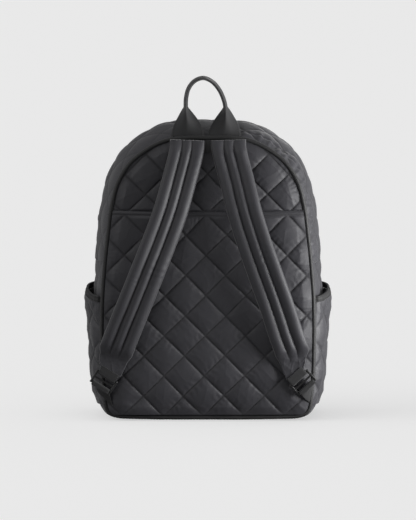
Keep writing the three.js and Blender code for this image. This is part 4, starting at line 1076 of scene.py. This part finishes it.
LOCKS = {
    "left": dict(side=-1, across=0.984, up=0.132, tilt=32, seat_up=0.066, seat_tilt=42),
    "right": dict(side=1, across=0.896, up=0.129, tilt=43, seat_up=0.088, seat_tilt=80),
}
STRAP_STEPS = 300
strap_nylon = cloth_material(
    "strap_nylon", (0.023, 0.0225, 0.0275), 0.58, 0.25, (0.0005, 0.00001), (0.006, 0.00006))


def back_level(x, z):
    """Highest level of the quilted back under a place, outwards from the plane of the rear seam."""
    inside = inside_seam(x, z)[0]
    base = back_base(inside) + np.where(z < HEM_HEIGHT + HEM_WIDTH, SLEEVE_GAP + SLEEVE_WALL, 0)
    return np.maximum(2, base + 3.2 * np.clip(inside / 16, 0, 1))


def level_across(point, wide, half):
    """Highest level under a strip that crosses a place, from its one edge to the other."""
    reach = np.linspace(-1, 1, 9) * np.asarray(half)[..., None]
    return back_level(point[..., 0:1] + wide[..., 0:1] * reach, point[..., 1:2] + wide[..., 1:2] * reach).max(-1)


def lock_frame(lock):
    """Middle of a ladder lock, the direction of its bars, and the direction down to its lower bar."""
    tilt = np.radians(lock["tilt"])
    bars = np.array([np.cos(tilt), 0, lock["side"] * np.sin(tilt)])
    down = np.array([lock["side"] * np.sin(tilt), 0, -np.cos(tilt)])
    centre = np.array([lock["side"] * lock["across"] * SEAM_HALF_WIDTH, 0, SEAM_RISE + SEAM_HEIGHT * lock["up"]])
    corner = centre - down * LOCK_LENGTH
    level = max(level_across(spot[[0, 2]], bars[[0, 2]], LOCK_WIDTH / 2) for spot in (centre, corner))
    centre[1] = REAR_Y - level - 2 * CLEARANCE - WEBBING_THICKNESS - LOCK_THICKNESS / 2
    return centre, bars, down


def strap_places(name, lock, shares):
    """Middle line of a strap and what its section is like at shares of its length."""
    centre, bars, down = lock_frame(lock)
    tip_end = centre - down * (LOCK_LENGTH / 2 + WEBBING_THICKNESS + 2 * CLEARANCE)
    rows = np.column_stack([STRAP_ACROSS[name], STRAP_UP])
    rows = rows * (lock["side"] * SEAM_HALF_WIDTH, SEAM_HEIGHT) + (0, SEAM_RISE)
    route = curve_through(np.vstack([rows, tip_end[[0, 2]]]))
    length = np.linalg.norm(np.diff(route, axis=0), axis=1).sum()
    point, travel = along(route, shares)
    left_over = (1 - shares) * length
    taper = smooth((STRAP_TIP - left_over) / (STRAP_TIP - TIP_FLAT))
    turned = smooth((32 - left_over) / 24)[:, None]
    wide = np.stack([-travel[:, 1], travel[:, 0]], -1) * (1 - turned) + bars[[0, 2]] * turned
    wide /= np.linalg.norm(wide, axis=1, keepdims=True)
    narrowed = read_rows(TIP_ROWS, left_over)
    width = STRAP_WIDTH + (WEBBING_WIDTH - STRAP_WIDTH) * narrowed
    thickness = STRAP_STITCH_THICKNESS + (LOCK_THICKNESS - STRAP_STITCH_THICKNESS) * taper
    puff = STRAP_PUFF * np.minimum(1, 0.35 + shares * 12) * (1 - smooth((46 - left_over) / 30))
    rest = level_across(point, wide, width / 2) + CLEARANCE + thickness / 2
    highest = np.array([rest[max(0, k - 22):k + 23].max() for k in range(len(rest))])
    rest = np.convolve(np.pad(highest, 22, mode="edge"), np.ones(45) / 45, "valid")
    bow = STRAP_BOW * np.sin(np.pi * np.clip(shares, 0, 1)) ** 1.2
    level = (rest + bow) * (1 - taper) + (REAR_Y - centre[1]) * taper
    return dict(point=point, wide=wide, width=width, thickness=thickness, puff=puff, level=level, taper=taper,
                length=length, travel=travel, twist=STRAP_TWIST * lock["side"])


def strap_section(strap, seed):
    """Outer face of a strap at a place along it (mm) and across it (-1 to 1): three ribs between the stitch
    lines, each a power of a sine, with puckers across each line and soft dents along the ribs."""
    shares = np.linspace(0, 1, STRAP_STEPS + 1)

    def surface(run, over):
        at = run / strap["length"]
        read = lambda key: np.interp(at, shares, strap[key])
        point = np.stack([np.interp(at, shares, strap["point"][:, k]) for k in (0, 1)], -1)
        wide = np.stack([np.interp(at, shares, strap["wide"][:, k]) for k in (0, 1)], -1)
        half = read("width") / 2
        third = np.interp(over, [-1, -CHANNEL_SEAM, CHANNEL_SEAM, 1], [0, 1, 2, 3])
        rib = np.abs(np.sin(np.pi * third)) ** 0.65
        gap = np.abs(third - np.round(third)) * 2 * half / 3
        reach = gap / 3
        ripple = np.sin(2 * np.pi * run / 12 + 6 * hills(run, over * 23, 22, seed))
        ripple = ripple * np.clip(1.2 * hills(run, over * 23, 26, seed + 1) - 0.1, 0, 1) * reach * np.exp(1 - reach)
        dents = hills(run, over * 12, 26, seed + 2)
        flat = read("taper")
        tip = flat * (0.5 * creases(run, over * 19, 0.9, 20, 8, seed + 3)
                      + 0.4 * creases(run, over * 19, -0.8, 16, 7, seed + 4))
        puff = read("puff")
        lift = read("thickness") / 2 + puff * rib * (1 + 0.1 * dents)
        lift = lift + 0.2 * ripple * np.clip(puff / 4, 0.15, 1) + tip
        lift = lift * np.clip((1 - np.abs(over)) * 22, 0, 1) ** 0.45
        lift = lift + strap["twist"] * over * np.sin(np.pi * at) ** 1.5
        across = over * half
        x = point[..., 0] + wide[..., 0] * across
        z = point[..., 1] + wide[..., 1] * across
        # Painted shade along the channel stitch lines between the ribs, gone on the flat tip.
        near = 0.6 * np.exp(-((gap / 1.1) ** 2)) * (1 - smooth((flat - 0.3) / 0.3))
        return np.stack([x, REAR_Y - read("level") - lift, z], -1), near
    return surface


def strap_back(strap, run, over):
    """Flat back face of a strap."""
    shares = np.linspace(0, 1, STRAP_STEPS + 1)
    at = run / strap["length"]
    read = lambda column: np.interp(at, shares, column)
    across = over * read(strap["width"]) / 2
    drop = read(strap["thickness"]) / 2 * np.clip((1 - np.abs(over)) * 12, 0, 1) ** 0.5
    drop = drop - strap["twist"] * over * np.sin(np.pi * at) ** 1.5
    x = read(strap["point"][:, 0]) + read(strap["wide"][:, 0]) * across
    z = read(strap["point"][:, 1]) + read(strap["wide"][:, 1]) * across
    return np.stack([x, REAR_Y - read(strap["level"]) + drop, z], -1)


for name, lock in LOCKS.items():
    strap = strap_places(name, lock, np.linspace(0, 1, STRAP_STEPS + 1))
    seed = 611 if name == "left" else 711
    surface = strap_section(strap, seed)
    run = np.linspace(0, strap["length"], STRAP_STEPS + 1)[:, None]
    front = np.sin(np.linspace(-np.pi / 2, np.pi / 2, 73))[None] * 0.35 + np.linspace(-1, 1, 73)[None] * 0.65
    behind = np.linspace(1, -1, 25)[None, 1:-1]
    outer, near = surface(run + 0 * front, front + 0 * run)
    back = strap_back(strap, run + 0 * behind, behind + 0 * run)
    rings = np.concatenate([outer, back], 1)
    cloth = np.concatenate([np.stack([front * 23 + 0 * run, run + 0 * front], -1),
                            np.stack([46 - behind * 23 + 0 * run, run + 0 * behind], -1)], 1)
    shade = np.concatenate([near, np.zeros(back.shape[:2])], 1)
    piece = capped_tube(f"strap_{name}", rings, strap_nylon, cloth, shade)
    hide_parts(f"shoulder_strap_{name}")
    places = np.arange(4, strap["length"] * 0.87, STITCH_PITCH)
    a = np.tile(places, 2)
    b = np.repeat([-CHANNEL_SEAM, CHANNEL_SEAM], len(places))
    sew(f"strap_{name}_stitches", lambda a, b: surface(a, np.clip(b, -0.99, 0.99)), a, b,
        np.ones(len(a)), np.zeros(len(a)), towards_viewer)

# Ladder locks and webbing: moulded frames with three bars. A turn of webbing joins each to the strap's tip, and
# the lower webbing runs from its lower bar behind it to the side seam.
webbing = cloth_material("webbing", (0.011, 0.011, 0.012), 0.72, 0.2, (0.0013, 0.00004), (0.006, 0.00004))
RIBBON_SIDES = 32


def ribbon_rings(points, wide, thick, width, thickness):
    """Sections of a flat strip with round edges: a superellipse across each station."""
    turn = np.linspace(0, 2 * np.pi, RIBBON_SIDES, endpoint=False)
    flat = np.sign(np.cos(turn)) * np.abs(np.cos(turn)) ** 0.35
    tall = np.sign(np.sin(turn)) * np.abs(np.sin(turn)) ** 0.6
    return (points[:, None] + wide[:, None] * (flat * width / 2)[None, :, None]
            + thick[:, None] * (tall * thickness / 2)[None, :, None])


def add_ribbon(name, stations, width, thickness, node):
    """Strip of webbing through stations (point, width direction, thickness direction), made smooth by a spline."""
    rows = np.array([np.concatenate(station) for station in stations])
    fine = curve_through(rows, steps=8)
    point, wide, thick = fine[:, :3], fine[:, 3:6], fine[:, 6:]
    wide = wide / np.linalg.norm(wide, axis=1, keepdims=True)
    thick = thick - wide * np.einsum("ij,ij->i", thick, wide)[:, None]
    thick = thick / np.maximum(np.linalg.norm(thick, axis=1, keepdims=True), 1e-6)
    rings = ribbon_rings(point, wide, thick, width, thickness)
    run = np.concatenate([[0], np.cumsum(np.linalg.norm(np.diff(point, axis=0), axis=1))])
    turn = np.linspace(0, 2, RIBBON_SIDES, endpoint=False) * width
    piece = capped_tube(name, rings, webbing, np.stack([turn + 0 * run[:, None], run[:, None] + 0 * turn], -1))
    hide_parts(node)
    return piece


def lie_across(place, wide, half):
    """Station of a webbing that rests on the back, tilted with it from edge to edge."""
    reach = np.linspace(-half, half, 9)
    levels = back_level(place[0] + wide[0] * reach, place[1] + wide[2] * reach) + CLEARANCE + WEBBING_THICKNESS / 2
    slope = (levels[8] - levels[0]) / 8
    lift = (levels - levels[0] - slope * np.arange(9)).max()
    tilted = wide + np.array([0, -slope * 4 / half, 0])
    return np.array([place[0], REAR_Y - levels[0] - slope * 4 - lift, place[1]]), tilted / np.linalg.norm(tilted)


def bar_rings(start, end, first, second, thick, tall):
    """Sections of a moulded bar between two points, rounded, a little thinner in its middle."""
    share = np.linspace(0, 1, 9)[:, None, None]
    turn = np.linspace(0, 2 * np.pi, 20, endpoint=False)
    flat = np.sign(np.cos(turn)) * np.abs(np.cos(turn)) ** 0.6
    high = np.sign(np.sin(turn)) * np.abs(np.sin(turn)) ** 0.6
    slim = 1 - 0.08 * np.sin(np.pi * share)
    section = (first * (flat * thick / 2)[:, None] + second * (high * tall / 2)[:, None])[None]
    return start + (end - start) * share + section * slim


for name, lock in LOCKS.items():
    centre, bars, down = lock_frame(lock)
    out = np.array([0.0, -1.0, 0.0])
    half_bar, half_long = LOCK_WIDTH / 2, LOCK_LENGTH / 2
    parts = []
    for offset, thick, tall in ((-half_long + 1.5, 3, 3.2), (0, 2.8, 3.0), (half_long - 1.5, 3, 3.2)):
        middle = centre + down * offset
        reach = bars * (half_bar - 1)
        parts.append(bar_rings(middle - reach, middle + reach, down, out, thick, tall))
    for side in (-1, 1):
        middle = centre + bars * side * (half_bar - 1.7)
        parts.append(bar_rings(middle - down * half_long, middle + down * half_long, bars, out, 3.4, 4.2))
    points = np.concatenate([part.reshape(-1, 3) for part in parts])
    size = 9 * 20
    quads, ends = [], []
    for k, part in enumerate(parts):
        faces = grid_quads(9, 20, wrap=True) + k * size
        caps = np.array([np.arange(20)[::-1], size - 20 + np.arange(20)]) + k * size
        quad = points[faces[80]]
        inside = part[4:6].mean((0, 1))
        if np.dot(quad.mean(0) - inside, np.cross(quad[1] - quad[0], quad[3] - quad[0])) < 0:
            faces, caps = faces[:, ::-1], caps[:, ::-1]
        quads.append(faces)
        ends.append(caps)
    piece = make_threads(f"lock_{name}", points, [np.vstack(quads), np.vstack(ends)], size)
    piece.data.materials[0] = moulded
    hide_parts(f"ladder_lock_{name}")

    radius = LOCK_THICKNESS / 2 + CLEARANCE + WEBBING_THICKNESS / 2
    slot_side = LOCK_BAR / 2 + CLEARANCE + WEBBING_THICKNESS / 2

    def turn_round(offset, sense, front_run):
        """Stations of webbing that comes over the front of a bar, through the slot and back behind it."""
        middle = centre + down * offset
        angle = np.linspace(0, np.pi, 9)
        stations = [(middle - down * sense * front_run + out * radius, bars, out)]
        for t in angle:
            stations.append((middle + down * sense * (slot_side - 1 + np.sin(t)) + out * radius * np.cos(t), bars,
                             down * sense * np.sin(t) + out * np.cos(t)))
        return middle, stations

    bar_offset = half_long - LOCK_BAR / 2
    overlap = LOCK_BAR / 2 + WEBBING_THICKNESS + 2 * CLEARANCE + WEBBING_LAP
    middle, stations = turn_round(-bar_offset, 1, overlap)
    stations.append((middle - down * overlap - out * radius, bars, -out))
    add_ribbon(f"strap_end_webbing_{name}", stations, WEBBING_WIDTH, WEBBING_THICKNESS, f"strap_webbing_{name}")

    point, _ = side_place(lock["side"], SEAM_RISE + SEAM_HEIGHT * lock["seat_up"])
    tilt = np.radians(lock["seat_tilt"])
    seat_wide = np.array([np.cos(tilt), 0, lock["side"] * np.sin(tilt)])
    seat, seat_wide = lie_across(point, seat_wide, WEBBING_WIDTH / 2)
    middle, stations = turn_round(bar_offset, -1, LOCK_BAR / 2 + 2)
    behind = middle - out * radius
    for share in (0.3, 0.6, 1):
        spot = behind + (seat - behind) * share
        spot[1] = behind[1] + (seat[1] - behind[1]) * smooth(share)
        wide = bars * (1 - share) + seat_wide * share
        stations.append((spot, wide / np.linalg.norm(wide), -out))
    add_ribbon(f"side_webbing_{name}", stations, WEBBING_WIDTH, WEBBING_THICKNESS, f"lower_webbing_{name}")

# Reinforcement patch: a small doubled piece of webbing on the back between the tops of the straps.
PATCH_HALF_WIDTH = 5
PATCH_HEIGHT = 17
patch_top = SEAM_RISE + SEAM_HEIGHT - EDGE_INSET - CLEARANCE
over, rise = np.meshgrid(np.linspace(-1, 1, 17), np.linspace(0, 1, 25), indexing="ij")
patch_z = patch_top - PATCH_HEIGHT * (1 - rise)
patch_x = over * PATCH_HALF_WIDTH * (0.65 + 0.35 * (1 - rise))
patch_y = REAR_Y - back_level(patch_x, patch_z) - CLEARANCE
# Painted shade along a stitch line near each side of the patch.
patch = padded_shell("patch", np.stack([patch_x, patch_y - 1.5 * (1 - over**6), patch_z], -1),
                     np.stack([patch_x, patch_y, patch_z], -1)[::4, ::4], webbing,
                     np.stack([patch_x, patch_z], -1), np.exp(-(((np.abs(over) - 0.75) / 0.15) ** 2)))
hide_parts("strap_patch")

# Carry handle: one length of wide webbing whose flat ends are sewn into the top seam, and which folds
# lengthwise into a narrow grip.
HANDLE_WEBBING = 46
HANDLE_THICKNESS = 1.8
HANDLE_RISE = 79
HANDLE_SPAN = 54
FOLD_ANGLE = 84
FOLD_RISE = 0.48
FOLD_POWER = 0.95
HANDLE_ROWS = np.array([
    (-1, 0), (-1.05, 0.25), (-1.1, 0.48), (-1.08, 0.64), (-0.95, 0.8), (-0.66, 0.92), (-0.25, 0.97), (0.16, 0.92),
    (0.5, 0.8), (0.74, 0.64), (0.86, 0.48), (0.86, 0.25), (0.82, 0),
])
HANDLE_STEPS = 240
handle_foot = SEAM_RISE + SEAM_HEIGHT + 2 + CLEARANCE
route = curve_through(HANDLE_ROWS * (HANDLE_SPAN / 2, HANDLE_RISE) + (0, handle_foot))
shares = np.linspace(0, 1, HANDLE_STEPS + 1)
point, travel = along(route, shares)
travel[0], travel[-1] = (0, 1), (0, -1)
wide = np.stack([travel[:, 1], -travel[:, 0]], -1)
risen = np.clip((point[:, 1] - handle_foot) / (HANDLE_RISE * FOLD_RISE), 0, 1)
fold = np.radians(FOLD_ANGLE * risen**FOLD_POWER)[:, None]
half = HANDLE_WEBBING / 2
across = np.concatenate([np.linspace(-1, 1, 33), np.linspace(1, -1, 33)])[None]
face = np.concatenate([np.full(33, 1.0), np.full(33, -1.0)])[None]
edge = np.clip((1 - np.abs(across)) * 14, 0, 1) ** 0.5
thick = face * (HANDLE_THICKNESS / 2 * edge + 0.08 * hills(across * 30, point[:, 1:2] + 0 * across, 16, 90) * edge)
inward, bend = np.abs(across) * half, np.sign(across + 1e-9 * face)
rounded = np.sqrt(inward**2 + 1.2**2) - 1.2
bowed = 1.2 + 12 * (1 - risen[:, None]) ** 0.7
bowed = np.sqrt(inward**2 + bowed**2) - bowed
apart = rounded * np.cos(fold) + thick * np.sin(fold) * np.clip(inward / 2, 0, 1)
apart = np.where(face < 0, np.maximum(apart, 0.1 * np.clip(inward, 0, 1)), apart)
sideways = bend * apart
deep = bowed * np.sin(fold) - thick * np.cos(fold * np.clip(inward / 2, 0, 1))
rings = np.stack([point[:, :1] + wide[:, :1] * sideways, REAR_Y + deep, point[:, 1:] + wide[:, 1:] * sideways], -1)
run = shares[:, None] * 260
cloth = np.stack([across * half + 60 * (face < 0) + 0 * run, run + 0 * across], -1)
# Painted shade along a stitch line near each edge of the webbing.
shade = np.exp(-(((np.abs(across) - 0.88) / 0.04) ** 2)) * 0.5 + 0 * run
handle = capped_tube("handle", rings, webbing, cloth, shade)
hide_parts("carry_handle")

# Studio: a wide pale floor, a large soft light low on the right, weak ones from the left and above, and a long
# lens just above the bag's middle, so that the floor fills the whole background.
# Distant lights: name, angle to the right of the viewer, angle over the floor, spread, strength
LIGHTS = [("fill", -70, 20, 70, 1.15), ("top", 5, 78, 50, 0.4), ("side", 104, 12, 40, 0.62)]
KEY_PLACE = (0.72, -0.30, 0.2)
KEY_SIZE = (0.3, 0.5)
KEY_WATTS = 11.5
WORLD_LIGHT = 0.27
FLOOR_GLOW = 0.55
floor_material = bpy.data.materials.new("studio_floor")
floor_material.use_nodes = True
tree = floor_material.node_tree
seen = tree.nodes.new("ShaderNodeLightPath").outputs["Is Camera Ray"]
shader = tree.nodes["Principled BSDF"]
shader.inputs["Base Color"].default_value = (0.5, 0.5, 0.5, 1)
shader.inputs["Roughness"].default_value = 0.9
shader.inputs["Specular IOR Level"].default_value = 0
shader.inputs["Emission Color"].default_value = (1, 1, 1, 1)
tree.links.new(sums(tree, "MULTIPLY", seen, FLOOR_GLOW), shader.inputs["Emission Strength"])
floor = bpy.data.meshes.new("floor")
floor.from_pydata([(-15, -8, -5e-5), (15, -8, -5e-5), (15, 40, -5e-5), (-15, 40, -5e-5)], [], [(0, 1, 2, 3)])
floor.materials.append(floor_material)
ground = bpy.data.objects.new("floor", floor)
bpy.context.scene.collection.objects.link(ground)
ground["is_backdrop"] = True

world = bpy.data.worlds.new("studio")
world.use_nodes = True
world.node_tree.nodes["Background"].inputs["Color"].default_value = (1, 1, 1, 1)
world.node_tree.nodes["Background"].inputs["Strength"].default_value = WORLD_LIGHT
bpy.context.scene.world = world


def look_at(holder, place, aim):
    """Puts an object at a place and points its own -Z axis at the aim."""
    holder.location = place
    holder.rotation_mode = "QUATERNION"
    holder.rotation_quaternion = (Vector(aim) - Vector(place)).to_track_quat("-Z", "Y")


def add_light(name, turn, height, spread, strength):
    """Distant soft light: turn is its angle to the right of the viewer and height its angle over the floor."""
    lamp = bpy.data.lights.new(name, "SUN")
    lamp.angle, lamp.energy = np.radians(spread), strength
    holder = bpy.data.objects.new(name, lamp)
    bpy.context.scene.collection.objects.link(holder)
    turn, height = np.radians(turn), np.radians(height)
    look_at(holder, (np.sin(turn) * np.cos(height), -np.cos(turn) * np.cos(height), np.sin(height)), (0, 0, 0))
    return holder


lamps = {light[0]: add_light(*light) for light in LIGHTS}

# The key light is a soft box close on the right. Both lights from the right are kept off the floor, which stays
# evenly lit.
box = bpy.data.lights.new("key", "AREA")
box.shape, (box.size, box.size_y), box.energy = "RECTANGLE", KEY_SIZE, KEY_WATTS
key = bpy.data.objects.new("key", box)
bpy.context.scene.collection.objects.link(key)
look_at(key, KEY_PLACE, (0, -0.03, 0.2))
lit = bpy.data.collections.new("key light")
lit.objects.link(ground)
lit.collection_objects[0].light_linking.link_state = "EXCLUDE"
key.light_linking.receiver_collection = lit
lamps["side"].light_linking.receiver_collection = lit

PIXEL = 1.333
CAMERA_DISTANCE = 8.0
ELEVATION = np.radians(4.5)
aim = np.array([0, -85, 215.6]) * 0.001
camera = bpy.data.cameras.new("camera")
camera.lens = 36 * CAMERA_DISTANCE / (520 * PIXEL * 0.001)
camera.clip_end = 80
viewer = bpy.data.objects.new("camera", camera)
bpy.context.scene.collection.objects.link(viewer)
look_at(viewer, tuple(aim + CAMERA_DISTANCE * np.array([0, -np.cos(ELEVATION), np.sin(ELEVATION)])), tuple(aim))
bpy.context.scene.camera = viewer
bpy.context.scene.view_settings.view_transform = "Standard"

low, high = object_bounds()
